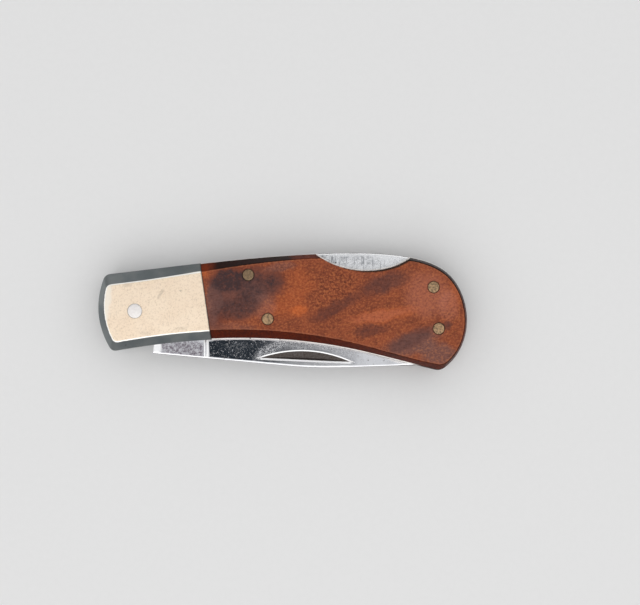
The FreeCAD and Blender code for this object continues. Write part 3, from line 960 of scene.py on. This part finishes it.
def make_wood(name, turned_end):
    """Scale wood, with its figure turned end for end or not."""
    material, tree, shader = new_material(name)
    place, facing = place_and_facing(tree)
    figure = place
    if turned_end:
        figure = vector_maths(tree, "MULTIPLY_ADD", place, (-1, 1, 1), (2 * HANDLE_MIDDLE_X, 0, 0))
    fine = noise(tree, figure, 2.0, detail=4.0, roughness=0.7)
    colour, dark = wood_figure(tree, figure, fine)
    level = maths(tree, "ABSOLUTE", facing["Z"])
    # The rounded rim of each flat is painted lighter as a painted highlight.
    rim = times(tree, ramp(tree, level, 0.999, 0.985), ramp(tree, level, 0.86, 0.93))
    colour = coats(tree, colour, (rim, 0.25, WOOD_RIM_HIGHLIGHT))
    # The sloped edges are multiplied by painted shade, darker where they face the back.
    slope = ramp(tree, level, 0.93, 0.84)
    colour = blend(tree, slope, colour, wood_edge_shade(tree, figure, facing), "MULTIPLY")
    # Dirt at the pins and the seam, and painted shade in the scoop.
    colour = coats(tree, colour, (wood_dirt_and_shade(tree, place), 1.0, WOOD_DIRT_AND_SHADE))
    rough = scaled_sum(tree, dark, 0.15, scaled_sum(tree, fine, 0.16, 0.30))
    end_material(tree, shader, colour, rough, minus(tree, 1.0, dark), depth=0.010, metallic=0.0)
    shader.inputs["Specular IOR Level"].default_value = WOOD_GLOSS
    return material


for side in ("mark", "pile"):
    wood = make_wood("scale_wood_" + side, turned_end=side == "pile")
    dress(side + "_scale", wood, "scale_wood", SCALE_EASE, weld=SLIVER)

# %% [markdown]
# The knife holds several metals that were ground and brushed. They differ in colour, in the way they were
# brushed, in how pitted they are, in where they are worn, and in where painted shade and painted highlights
# lie on them. One function makes them all, and each states its own values.

# %% Brushed metals
ACROSS = math.radians(90)
BRUSH_STROKES = [(0.0, 3.0, 0.14, 0.9, 1.0), (0.1, 1.8, 0.45, 0.75, 1.0), (1.1, 2.0, 0.12, 0.3, 0.6)]
STEEL_PIT = rgb(0.07, 0.055, 0.045)
# Near white for rubbed edges: wear and a painted highlight.
STEEL_RUB_AND_HIGHLIGHT = rgb(0.92, 0.92, 0.92)
STEEL_PAINTED_SHADE = rgb(0.050, 0.036, 0.030)
# Painted shade on the liner by the beak, past the blade's tip.
BEAK_PAINTED_SHADE = [(32.0, -11.9, 4.4, 2.4, -15, 1.0)]
LOCK_WORN = [
    (13.2, 12.15, 5.5, 0.5, 0, 0.8),
    (22.3, 11.75, 5.0, 0.5, -5, 0.8),
    (24.0, 10.6, 4.4, 1.8, -18, 0.75),
    (16.0, 9.2, 7.0, 0.9, 0, 0.5),
]


def make_brushed(
    name, colour, dull, roughness, brush, pits, turn=0.0, rise=0.14, sparkle=0.0, shade_spots=(), worn=(),
):
    """Ground metal: brushed one way, clouded with dull patches, pitted, rubbed bright on its edges where a
    highlight is painted too, and darkened by painted shade where given.
    """
    material, tree, shader = new_material(name)
    place, facing = place_and_facing(tree)
    level = maths(tree, "ABSOLUTE", facing["Z"])
    # Rubbed edges, which get wear and a painted highlight.
    rubbed = times(tree, ramp(tree, level, 0.995, 0.96), ramp(tree, level, 0.25, 0.5))
    cloud = ramp(tree, noise(tree, place, 0.9, detail=5.0, roughness=0.65), 0.42, 0.66)
    grain = ramp(tree, noise(tree, place, 2.2, detail=4.0, roughness=0.75), 0.46, 0.64, 0.0, sparkle)
    pit = use(tree, SPECKS, Place=place, Size=0.7, Cover=pits)
    lines = times(tree, scratches(tree, place, BRUSH_STROKES, turn, rise), brush)
    tone = coats(
        tree, colour,
        (cloud, 0.4, dull),
        (most(tree, lines, grain), 1.0, dull),
        (patches(tree, place, worn), 1.0, colour),
        (pit, 0.8, STEEL_PIT),
        (rubbed, 0.8, STEEL_RUB_AND_HIGHLIGHT),
        # Spots of painted shade.
        (patches(tree, place, shade_spots), 1.0, STEEL_PAINTED_SHADE),
    )
    rough = scaled_sum(tree, pit, 0.3, scaled_sum(tree, lines, 0.25, roughness))
    rough = scaled_sum(tree, cloud, 0.06, rough)
    height = minus(tree, 1.0, maths(tree, "ADD", lines, pit))
    end_material(tree, shader, tone, rough, height, depth=0.004)
    return material


LINER_METAL = make_brushed(
    "liner_metal", rgb(0.92, 0.86, 0.82), rgb(0.70, 0.65, 0.61), roughness=0.28, brush=0.4, pits=0.1,
    shade_spots=BEAK_PAINTED_SHADE,
)
LOCK_STEEL = make_brushed(
    "lock_steel", rgb(0.77, 0.78, 0.80), rgb(0.14, 0.15, 0.17), roughness=0.24, brush=0.6, pits=0.1,
    turn=ACROSS, rise=3.0, sparkle=0.45, worn=LOCK_WORN,
)
SPRING_STEEL = make_brushed(
    "spring_steel", rgb(0.45, 0.46, 0.48), rgb(0.25, 0.25, 0.27), roughness=0.30, brush=0.6, pits=0.2,
)
WASHER_BRONZE = make_brushed(
    "washer_bronze", rgb(0.62, 0.40, 0.18), rgb(0.40, 0.25, 0.12), roughness=0.35, brush=0.5, pits=0.2,
    turn=0.7,
)
print("metals", LINER_METAL.name, LOCK_STEEL.name, SPRING_STEEL.name, WASHER_BRONZE.name)

# %% [markdown]
# Liners, washers, hidden rivets, the rear spacer and the lock bar are plain plates and discs, so the eased
# copy is all that they need. The lock bar's back is rounded by every press of a thumb, and gets a wider
# facet.

# %% Liners, washers, spacer and lock bar
LINER_EASE = 0.06
WASHER_EASE = 0.03
RIVET_EASE = 0.04
SPACER_EASE = 0.06
LOCK_EASE = 0.08
LOCK_BACK_EASE = 0.42

for side in ("mark", "pile"):
    dress(side + "_liner", LINER_METAL, "liner_metal", LINER_EASE)
    dress(side + "_washer", WASHER_BRONZE, "washer_bronze", WASHER_EASE)
    dress(side + "_bolster_rivets", LINER_METAL, "liner_metal", RIVET_EASE)
dress("rear_spacer", LOCK_STEEL, "lock_steel", SPACER_EASE)
dress("lock_bar", LOCK_STEEL, "lock_steel", LOCK_EASE, "lock_bar", back_width=LOCK_BACK_EASE)

# %% [markdown]
# The blade is polished steel, ground thin from the plunge line to its edge. Its broken spine is a wider
# facet than the other edges and shines as a bright line. Such a wide bevel folds over anything small, so it
# gets room first: the small facets of the spine's wall are joined, and the small points at the plunge's
# foot are drawn together.

# %% Room for the spine's facet
SPINE_BEND = math.radians(3)
SPINE_FACING = -0.9
UPRIGHT = 0.1
PLUNGE_FOOT = PIVOT + Vector((14.9, -11.5, 0))
PLUNGE_HEAD = PIVOT + Vector((14.9, -7.5, 0))
PLUNGE_ROOM = Vector((0.8, 1.9, 0))
PLUNGE_DROP = 0.01


def join_spine(work):
    """Joins the small facets of the spine's wall."""
    wall = {f for f in work.faces if f.normal.y < SPINE_FACING and abs(f.normal.z) < UPRIGHT}
    inner = [e for e in work.edges if all(f in wall for f in e.link_faces)]
    bmesh.ops.dissolve_limit(work, angle_limit=SPINE_BEND, verts=[], edges=inner)


def clear_plunge(work):
    """Draws the small points of the plunge's foot together, on both sides of the blade."""
    limit = PLUNGE_FOOT + PLUNGE_ROOM
    near = [v for v in work.verts if PLUNGE_FOOT.x < v.co.x < limit.x and v.co.y < limit.y]
    for side in (1, -1):
        height = {v: (v.co.z - MID_Z) * side for v in near if v.is_valid}
        flat = max(height.values())
        ledge = [v for v, z in height.items() if z > flat - PLUNGE_DROP]
        below = [v for v, z in height.items() if 0.5 * flat < z <= flat - PLUNGE_DROP]
        bmesh.ops.pointmerge(work, verts=ledge, merge_co=min((v.co for v in ledge), key=lambda co: co.y))
        bmesh.ops.pointmerge(work, verts=below, merge_co=max((v.co for v in below), key=lambda co: co.x))


blade_work = joined_copy("blade")
join_spine(blade_work)
clear_plunge(blade_work)
print("blade", len(blade_work.faces), "faces")

# %% [markdown]
# A long nail nick is cut into the mark side. Its rim is rounded and painted bright as a highlight, and its
# inside is painted dark, as dirt and painted shade. The nick's faces and its new rim are marked here,
# because the finish can then follow the marks exactly. The two ends of the straight lip by the spine are
# kept for a painted bright line along it.

# %% Nail nick
NICK_MIDDLE = PIVOT + Vector((36.77, -10.49, 0))
NICK_REACH = Vector((10.8, 2.6, 0))
NICK_UPWARD = 0.05
NICK_FLOOR_LEAN = -0.2
NICK_WALL_LEAN = 0.5
NICK_RIM = 0.14
NICK_RIM_STEPS = 3


def near_nick(point):
    away = point - NICK_MIDDLE
    return abs(away.x) < NICK_REACH.x and abs(away.y) < NICK_REACH.y and point.z > MID_Z


def open_nick(work):
    """Marks the nick's faces, rounds its rim and returns the two ends of its straight lip."""
    inside = work.faces.layers.float.new("nick")
    rim = work.faces.layers.float.new("nick_rim")
    cut = [f for f in work.faces if near_nick(f.calc_center_median()) and f.normal.z > NICK_UPWARD]
    cut = {f for f in cut if f.normal.y < NICK_FLOOR_LEAN or f.normal.y > NICK_WALL_LEAN}
    for face in cut:
        face[inside] = 1.0
    lip = {e for f in cut for e in f.edges if any(g not in cut for g in e.link_faces)}
    straight = [e for e in lip if any(f in cut and f.normal.y > NICK_WALL_LEAN for f in e.link_faces)]
    ends = sorted((v.co.copy() for e in straight for v in e.verts), key=lambda place: place.x)
    rounded = {"offset": NICK_RIM, "segments": NICK_RIM_STEPS, "profile": 0.5}
    made = bmesh.ops.bevel(work, geom=list(lip), affect="EDGES", **rounded)["faces"]
    for face in made:
        face[inside] = 0.0
        face[rim] = 1.0
    print("nick", len(cut), "faces, rim", len(made), "faces")
    return ends[0], ends[-1]


lip_foot, lip_head = open_nick(blade_work)
print("lip from", lip_foot, "to", lip_head)

# %% [markdown]
# A few bright lines are painted on the blade as highlights: along the nick's lip, along the two edges of
# the plunge, and over the honed band along the edge, which also has a rougher finish of its own. The first
# two lie at known distances from a line, so a stripe finds them. The band is where the blade is thinnest, so
# its height above the middle plane finds it.

# %% Painted bright lines of the blade
LIP_MIDDLE = 0.18
LIP_HALF_WIDTH = 0.36
LIP_START = -0.2
LIP_FULL = 0.6
# Shifts and half widths of the two painted highlights along the plunge.
PLUNGE_HIGHLIGHTS = [(-0.38, 0.20), (0.20, 0.30)]
HONED_HALF_THICK = 0.12
HONED_FADE = 0.015


def stripe(tree, distance, shift, half_width):
    """A soft stripe along a line, at a shift from it."""
    away = maths(tree, "ABSOLUTE", minus(tree, distance, shift))
    return ramp(tree, away, half_width, half_width / 2)


def lip_highlight(tree, place):
    """A painted highlight along the nick's straight lip, faded at both ends."""
    along = split(tree, place)["X"]
    line = stripe(tree, from_line(tree, place, lip_foot, lip_head), LIP_MIDDLE, LIP_HALF_WIDTH)
    line = times(tree, line, ramp(tree, along, lip_foot.x + LIP_START, lip_foot.x + LIP_FULL))
    return times(tree, line, ramp(tree, along, lip_head.x - LIP_START, lip_head.x - LIP_FULL))


# Painted highlights along the two edges of the plunge.
def plunge_highlights(tree, place):
    away = from_line(tree, place, PLUNGE_FOOT, PLUNGE_HEAD)
    return most(tree, *[stripe(tree, away, shift, half_width) for shift, half_width in PLUNGE_HIGHLIGHTS])


# The honed band is a rougher finish of its own, and the blade's finish also paints it paler as a painted
# highlight.
def honed_band(tree, place):
    thin = maths(tree, "ABSOLUTE", minus(tree, split(tree, place)["Z"], MID_Z))
    return ramp(tree, thin, HONED_HALF_THICK, HONED_HALF_THICK - HONED_FADE)


print("stripes along the lip and", len(PLUNGE_HIGHLIGHTS), "along the plunge")

# %% [markdown]
# The rest of the blade's finish is a mirror that has been carried: fine scratches three ways, pits, light
# knocks, scuffs by the nick and a blotchy tarnish on the tang, with a few spots of painted highlight. The
# scratches and the marks that have a place of their own are listed here, as strokes and soft patches.

# %% Marks of the blade
BLADE_SCRATCHES = [(ACROSS, 5.0, 0.05, 0.8, 0.3), (0.12, 5.0, 0.09, 0.45, 0.5), (0.9, 2.0, 0.08, 0.35, 1.0)]
# Spots of painted highlight.
BLADE_HIGHLIGHT_PATCHES = [
    (-27.0, -7.7, 1.0, 1.6, 0, 1.0),
    (25.6, -10.5, 3.6, 0.8, -12, 1.0),
    (6.3, -11.15, 9.0, 0.55, -2, 0.35),
]
TANG_STAIN = [
    (-22.2, -7.9, 5.0, 2.4, -5, 1.0),
    (-18.6, -8.6, 2.6, 2.6, 0, 0.8),
]
SCUFFS = [
    (-3.2, -8.4, 4.0, 1.4, 30, 0.9),
    (4.0, -7.0, 6.5, 1.3, -4, 0.8),
    (12.0, -8.4, 4.5, 1.3, -14, 0.7),
    (-10.0, -7.6, 3.0, 1.6, 0, 0.3),
]
print("blade has", len(SCUFFS), "scuffs")

# %% [markdown]
# Smooth steel mirrors the dark card, and every mark that roughens it mirrors the bright tent instead, so
# the marks need roughness more than colour. The nick's inside, painted dark as dirt and painted shade, and
# its rim, painted bright as a highlight, follow the marks that were put on its faces.

# %% Blade steel
BLADE_BRIGHT = rgb(0.56, 0.57, 0.60)
BLADE_STAIN = rgb(0.40, 0.40, 0.42)
BLADE_TANG = rgb(0.15, 0.13, 0.155)
BLADE_SCUFF_AND_HIGHLIGHT = rgb(0.66, 0.66, 0.68)
BLADE_HONED_HIGHLIGHT = rgb(0.70, 0.71, 0.73)
BLADE_NICK_DIRT_AND_SHADE = rgb(0.036, 0.026, 0.021)
BLADE_HIGHLIGHT = rgb(0.95, 0.95, 0.96)


def mark_on(tree, name):
    """A mark that was put on the mesh's faces."""
    return add(tree, "ShaderNodeAttribute", attribute_name=name).outputs["Fac"]


def make_blade_steel():
    material, tree, shader = new_material("blade_steel")
    place, facing = place_and_facing(tree)
    level = maths(tree, "ABSOLUTE", facing["Z"])
    on_face = ramp(tree, level, 0.3, 0.6)
    # The spine's facet, which is painted near white as a painted highlight.
    spine = times(tree, ramp(tree, facing["Y"], -0.12, -0.25), ramp(tree, level, 0.2, 0.4))
    ragged = frayed(tree, place, 0.8, 1.6)
    grit = noise(tree, place, 4.0, detail=4.0, roughness=0.75)
    blotch = noise(tree, place, 1.5, detail=5.0, roughness=0.7)
    stain = ramp(tree, noise(tree, place, 0.45, detail=5.0, roughness=0.6), 0.45, 0.72)
    knock = ramp(tree, noise(tree, place, 2.2, detail=5.0, roughness=0.82), 0.51, 0.66, 0.0, 0.75)
    lines = scratches(tree, place, BLADE_SCRATCHES)
    pit = use(tree, SPECKS, Place=place, Size=0.55, Cover=0.16)
    scuff = times(tree, patches(tree, ragged, SCUFFS), ramp(tree, grit, 0.42, 0.58))
    tang = times(tree, patches(tree, ragged, TANG_STAIN), ramp(tree, blotch, 0.40, 0.58, 1.0, 0.4))
    honed = times(tree, honed_band(tree, place), on_face)
    plunge = times(tree, plunge_highlights(tree, place), on_face)
    # Painted highlights: the nick's lip, the plunge's edges and a few spots.
    bright = most(tree, lip_highlight(tree, place), plunge, patches(tree, place, BLADE_HIGHLIGHT_PATCHES))
    # The nick's inside, painted near black as dirt and painted shade.
    nick = times(tree, mark_on(tree, "nick"), ramp(tree, grit, 0.3, 0.7, 0.93, 1.0))
    # The nick's rim, which is painted near white as a painted highlight.
    rim = mark_on(tree, "nick_rim")
    colour = coats(
        tree, BLADE_BRIGHT,
        (stain, 0.45, BLADE_STAIN),
        (tang, 1.0, BLADE_TANG),
        (lines, 0.35, BLADE_STAIN),
        (pit, 0.75, STEEL_PIT),
        # Scuffs and knocks are wear, and the bright lines laid with them are painted highlights.
        (most(tree, scuff, bright, knock), 1.0, BLADE_SCUFF_AND_HIGHLIGHT),
        # The honed band's paler colour is a painted highlight.
        (honed, 1.0, BLADE_HONED_HIGHLIGHT),
        # Painted highlights on the spine's facet and along the bright lines.
        (most(tree, spine, bright), 1.0, BLADE_HIGHLIGHT),
        # Dirt and painted shade inside the nick.
        (nick, 1.0, BLADE_NICK_DIRT_AND_SHADE),
        (rim, 1.0, BLADE_HIGHLIGHT),
    )
    rough = scaled_sum(tree, stain, 0.02, scaled_sum(tree, lines, 0.05, 0.03))
    rough = scaled_sum(tree, most(tree, pit, nick, rim, scuff, bright, knock), 0.35, rough)
    rough = scaled_sum(tree, honed, 0.12, rough)
    height = minus(tree, 1.0, maths(tree, "ADD", lines, pit))
    end_material(tree, shader, colour, rough, height, depth=0.0006)
    return material


BLADE_STEEL = make_blade_steel()
print("material", BLADE_STEEL.name, "with", len(BLADE_STEEL.node_tree.nodes), "nodes")

# %% [markdown]
# The ground faces curve slowly, but the frame holds them as rows of flat facets, and a mirror shows every
# one. The frame has no finer facets to offer. So the facets' directions are fitted by a smooth curve along
# the blade, weighed by their areas, and the curve's directions become the shading normals.

# %% Even ground faces
GROUND_LEVEL = 0.99
GROUND_LEAN = 0.05
GROUND_TERMS = 4
PLUNGE_BAND = 0.55


def even_ground(mesh, side):
    """Gives one ground face the slowly turning direction that its flat facets only follow in steps."""
    large = [p for p in mesh.polygons if p.normal.z * side > GROUND_LEVEL and p.normal.y > GROUND_LEAN]
    large = [p for p in large if p.center.x / MM > PLUNGE_FOOT.x + PLUNGE_BAND]
    corners = [(p, mesh.vertices[v].co.x / MM) for p in large for v in p.vertices]
    weights = numpy.array([[p.area] for p, _ in corners]) ** 0.5
    terms = numpy.vander([x for _, x in corners], GROUND_TERMS)
    directions = numpy.array([p.normal for p, _ in corners])
    fit = numpy.linalg.lstsq(terms * weights, directions * weights, rcond=None)[0]
    normals = [corner.vector.copy() for corner in mesh.corner_normals]
    for polygon in large:
        for corner in polygon.loop_indices:
            x = mesh.vertices[mesh.loops[corner].vertex_index].co.x / MM
            normals[corner] = Vector((numpy.vander([x], GROUND_TERMS) @ fit)[0]).normalized()
    mesh.normals_split_custom_set(normals)
    print("ground face", side, len(large), "facets evened")


print("ground faces start at x", round(PLUNGE_FOOT.x + PLUNGE_BAND, 2))

# %% [markdown]
# Last, the blade's own edges get their widths: a wide facet along the spine on the mark side, and a fine
# one everywhere else but on the nick's rim, which is round already.

# %% Blade
SPINE_FACET = 0.46
SPINE_Y = PIVOT.y - 7.5
SPINE_WALL = -0.7
BLADE_EASE = 0.035


def on_spine(edge):
    """True where the mark side meets the spine's wall."""
    first, second = edge.link_faces
    outer = max(vert.co.y for vert in edge.verts) < SPINE_Y
    wall = min(first.normal.y, second.normal.y) < SPINE_WALL
    return outer and wall and max(first.normal.z, second.normal.z) > LEVEL


def make_blade(work):
    rim = work.faces.layers.float["nick_rim"]
    plain = [e for e in sharp_edges(work) if not any(face[rim] for face in e.link_faces)]
    widths = {edge: SPINE_FACET if on_spine(edge) else BLADE_EASE for edge in plain}
    weigh(work, widths, SPINE_FACET)
    print("spine edges", list(widths.values()).count(SPINE_FACET))
    piece = finish_mesh(work, "blade_dressed", BLADE_STEEL, SPINE_FACET)
    for side in (1, -1):
        even_ground(piece.data, side)
    belong(piece, "blade", "blade_steel", "blade")


make_blade(blade_work)

# %% [markdown]
# Four brass pins show on each side. Each is a rod whose end was hammered over and filed flush, so its face
# is very slightly crowned and its rim is soft. Such a rod is a rule, not a drawing: a radius for each place
# along its length. So the rule is written out once, as sums of nodes.

# %% Profile of a pin
RINGS = 16


def pin_profile(tree, given):
    """The height and the radius of each ring, from the middle of the foot to the middle of the head."""
    along = scaled_sum(tree, tree.nodes.new("GeometryNodeInputIndex").outputs[0], 1 / RINGS, -1.0)
    share = minus(tree, 1.0, times(tree, along, along))
    square = maths(tree, "DIVIDE", times(tree, given["Radius"], 2.0), given["Rim"])
    corner = minus(tree, 1.0, maths(tree, "POWER", share, square), clamp=True)
    corner = maths(tree, "POWER", corner, maths(tree, "DIVIDE", given["Rim"], given["Length"]))
    half = times(tree, given["Length"], 0.5)
    dome = times(tree, minus(tree, 1.0, times(tree, share, share)), given["Crown"])
    height = scaled_sum(tree, minus(tree, half, given["Crown"]), corner, dome)
    height = times(tree, height, maths(tree, "SIGN", along))
    level = maths(tree, "DIVIDE", maths(tree, "ADD", height, half), given["Foot Height"])
    flare = times(tree, minus(tree, 1.0, level, clamp=True), given["Foot Flare"])
    return height, times(tree, maths(tree, "ADD", given["Radius"], flare), share)


print("a pin has", 2 * RINGS + 1, "rings")

# %% [markdown]
# A Geometry Nodes tree makes the rod, from a straight line whose points get that radius, and sets a copy on
# each place. The same tree, with a flared foot, makes the short rivets that hold a scale to its liner.

# %% Pin tree
SIDES = 48
POLE_WELD = 0.002
GEOMETRY = "NodeSocketGeometry"
MATERIAL = "NodeSocketMaterial"


def make_pin_tree():
    inputs = [
        ("Places", GEOMETRY, None),
        ("Radius", FLOAT, 1.2),
        ("Length", FLOAT, 11.0),
        ("Rim", FLOAT, 0.12),
        ("Crown", FLOAT, 0.03),
        ("Foot Flare", FLOAT, 0.0),
        ("Foot Height", FLOAT, 0.6),
        ("Turn Over", FLOAT, 0.0),
        ("Metal", MATERIAL, None),
    ]
    tree, given, result = new_group("peened_pin", inputs, ("Pins", GEOMETRY), "GeometryNodeTree")
    height, reach = pin_profile(tree, given)
    line = add(tree, "GeometryNodeCurvePrimitiveLine", {"Start": (0, 0, -1), "End": (0, 0, 1)})
    line = add(tree, "GeometryNodeResampleCurve", {"Curve": line.outputs[0], "Count": 2 * RINGS + 1})
    line = add(tree, "GeometryNodeSetPosition", {0: line.outputs[0], "Position": combine(tree, Z=height)})
    circle = add(tree, "GeometryNodeCurvePrimitiveCircle", {"Resolution": SIDES, "Radius": 1.0})
    swept = {"Curve": line.outputs[0], "Profile Curve": circle.outputs[0], "Scale": reach}
    rod = add(tree, "GeometryNodeCurveToMesh", swept)
    rod = add(tree, "GeometryNodeMergeByDistance", {"Geometry": rod.outputs[0], "Distance": POLE_WELD})
    way = add(tree, "FunctionNodeEulerToRotation", {0: combine(tree, X=given["Turn Over"])})
    put = {"Points": given["Places"], "Instance": rod.outputs[0], "Rotation": way.outputs[0]}
    pins = add(tree, "GeometryNodeInstanceOnPoints", put | {"Scale": (MM, MM, MM)})
    pins = add(tree, "GeometryNodeRealizeInstances", {0: pins.outputs[0]})
    pins = add(tree, "GeometryNodeSetShadeSmooth", {0: pins.outputs[0]})
    pins = add(tree, "GeometryNodeSetMaterial", {0: pins.outputs[0], "Material": given["Metal"]})
    tree.links.new(pins.outputs[0], result)
    return tree


PIN_TREE = make_pin_tree()
print("tree", PIN_TREE.name, "with", len(PIN_TREE.nodes), "nodes")

# %% [markdown]
# The pins are brass gone olive with age, and the pivot is a bright steel pin that is polished flush with
# the bolster. Their heads are a little mottled from hammer and file. The pin in the darkest cloud of the
# wood is more tarnished than the others.

# %% Peened metals
FILED = [(0.6, 1.6, 0.07, 0.6, 0.5)]
DIRTY_PIN = (*middle("rocker_pin").xy, 3.0, 3.0, 0, 0.6)


def make_peened(name, bright, dull, roughness, mottle, tarnished=()):
    """Hammered and filed metal, as on a pin's head. Pins at tarnished spots are darker."""
    material, tree, shader = new_material(name)
    place, _ = place_and_facing(tree)
    dents = noise(tree, place, 2.4, detail=3.0, roughness=0.6)
    worn = most(tree, scratches(tree, place, FILED), use(tree, SPECKS, Place=place, Size=0.45, Cover=0.35))
    tone = coats(
        tree, bright,
        (ramp(tree, dents, 0.35, 0.68), mottle, dull),
        (worn, mottle, dull),
        (patches(tree, place, tarnished), 1.0, dull),
    )
    rough = scaled_sum(tree, dents, 0.2, roughness)
    end_material(tree, shader, tone, rough, minus(tree, dents, worn), depth=0.012)
    return material


BRASS = make_peened("pin_brass", rgb(0.45, 0.29, 0.165), rgb(0.15, 0.11, 0.07), 0.32, 0.85, [DIRTY_PIN])
PIVOT_STEEL = make_peened("pivot_steel", rgb(0.93, 0.89, 0.87), rgb(0.72, 0.69, 0.67), 0.24, 0.35)
print("metals", BRASS.name, PIVOT_STEEL.name)

# %% [markdown]
# Each tree runs on a guide: here a few points, one where each pin stands, and later a path. Its result is
# kept as a plain mesh and the guide is thrown away. The three long pins go right through the handle and
# share a length, while a rivet goes through one scale only and stands with its flared foot in the liner.

# %% Pins and rivets
RIVET_FLARE = 0.5
PIVOT_RIM = 0.06
PIVOT_CROWN = 0.02


def grow(name, guide_data, tree, **values):
    """What a Geometry Nodes tree makes of a guide. Its inputs are found by name and set by identifier."""
    guide = link(name, guide_data)
    modifier = guide.modifiers.new(tree.name, "NODES")
    modifier.node_group = tree
    known = {item.name: item.identifier for item in tree.interface.items_tree if item.in_out == "INPUT"}
    for label, value in values.items():
        modifier[known[label.replace("_", " ")]] = value
    mesh = plain_mesh(guide)
    bpy.data.objects.remove(guide)
    return link(name, mesh)


def make_pins(name, nodes, slot, **values):
    """Pins in the places of frame pieces that share a height."""
    low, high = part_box(nodes[0])
    points = bpy.data.meshes.new(name + "_places")
    points.from_pydata([middle(node) * MM for node in nodes], [], [])
    belong(grow(name, points, PIN_TREE, Length=(high.z - low.z) / MM, **values), "handle", slot, *nodes)


make_pins("brass_pins", LONG_PINS, "pin_brass", Radius=PIN_RADIUS, Metal=BRASS)
for side, over in (("mark", 0.0), ("pile", math.pi)):
    flared = {"Radius": PIN_RADIUS, "Foot_Flare": RIVET_FLARE, "Turn_Over": over, "Metal": BRASS}
    make_pins(side + "_brass_rivet", [side + "_scale_rivet"], "pin_brass", **flared)
flush = {"Radius": PIVOT_RADIUS, "Rim": PIVOT_RIM, "Crown": PIVOT_CROWN, "Metal": PIVOT_STEEL}
make_pins("bright_pivot", ["pivot_pin"], "pivot_steel", **flush)

# %% [markdown]
# A leaf spring lies under the lock bar's tail, with its root in the rear spacer. It bends when the bar
# rocks, and a rigid copy of the frame's leaf could not. So the leaf is swept along a path by a second tree,
# which gives it plenty of cross sections.

# %% Leaf tree
LEAF_STEPS = 48
EDGE_STEPS = 3


def make_leaf_tree():
    inputs = [
        ("Path", GEOMETRY, None),
        ("Width", FLOAT, 2.6),
        ("Thickness", FLOAT, 0.9),
        ("Edge", FLOAT, 0.1),
        ("Metal", MATERIAL, None),
    ]
    tree, given, result = new_group("swept_leaf", inputs, ("Leaf", GEOMETRY), "GeometryNodeTree")
    path = add(tree, "GeometryNodeResampleCurve", {"Curve": given["Path"], "Count": LEAF_STEPS})
    section = {"Width": given["Thickness"], "Height": given["Width"]}
    section = add(tree, "GeometryNodeCurvePrimitiveQuadrilateral", section)
    section = {"Curve": section.outputs[0], "Count": EDGE_STEPS, "Radius": given["Edge"]}
    section = add(tree, "GeometryNodeFilletCurve", section, mode="POLY")
    swept = {"Curve": path.outputs[0], "Profile Curve": section.outputs[0], "Scale": MM, "Fill Caps": True}
    leaf = add(tree, "GeometryNodeCurveToMesh", swept)
    leaf = add(tree, "GeometryNodeRealizeInstances", {0: leaf.outputs[0]})
    leaf = add(tree, "GeometryNodeSetMaterial", {0: leaf.outputs[0], "Material": given["Metal"]})
    tree.links.new(leaf.outputs[0], result)
    return tree


LEAF_TREE = make_leaf_tree()
print("tree", LEAF_TREE.name, "with", len(LEAF_TREE.nodes), "nodes")

# %% [markdown]
# The path runs from the root, through the mouth of the spacer's slot, over the bow to the tip. The leaf is
# then blended between two bodies: its root follows the handle and its tip follows the spring's own body.

# %% Leaf spring
LEAF_PATH = [(61.3, 2.31, 0), (57.6, 2.85, 0), (48.5, 4.75, 0), (39.7, 6.69, 0)]
LEAF_EDGE = 0.12


def make_leaf():
    low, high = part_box("lock_spring")
    points = [(PIVOT + Vector(step)) * MM for step in LEAF_PATH]
    path = bpy.data.curves.new("leaf_path", "CURVE")
    path.dimensions = "3D"
    spline = path.splines.new("BEZIER")
    spline.bezier_points.add(len(points) - 1)
    for knot, point in zip(spline.bezier_points, points):
        knot.co = point
        knot.handle_left_type = "AUTO"
        knot.handle_right_type = "AUTO"
    width = (high.z - low.z) / MM
    leaf = grow("leaf_spring", path, LEAF_TREE, Width=width, Edge=LEAF_EDGE, Metal=SPRING_STEEL)
    leaf.data.shade_smooth()
    leaf.data.set_sharp_from_angle(angle=SMOOTH)
    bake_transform(leaf, "handle", "lock_spring", start=points[0], end=(points[1] + points[2]) / 2)
    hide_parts("lock_spring")
    print(leaf.name, len(leaf.data.polygons), "faces", [round(v / MM, 2) for v in leaf.dimensions])


make_leaf()
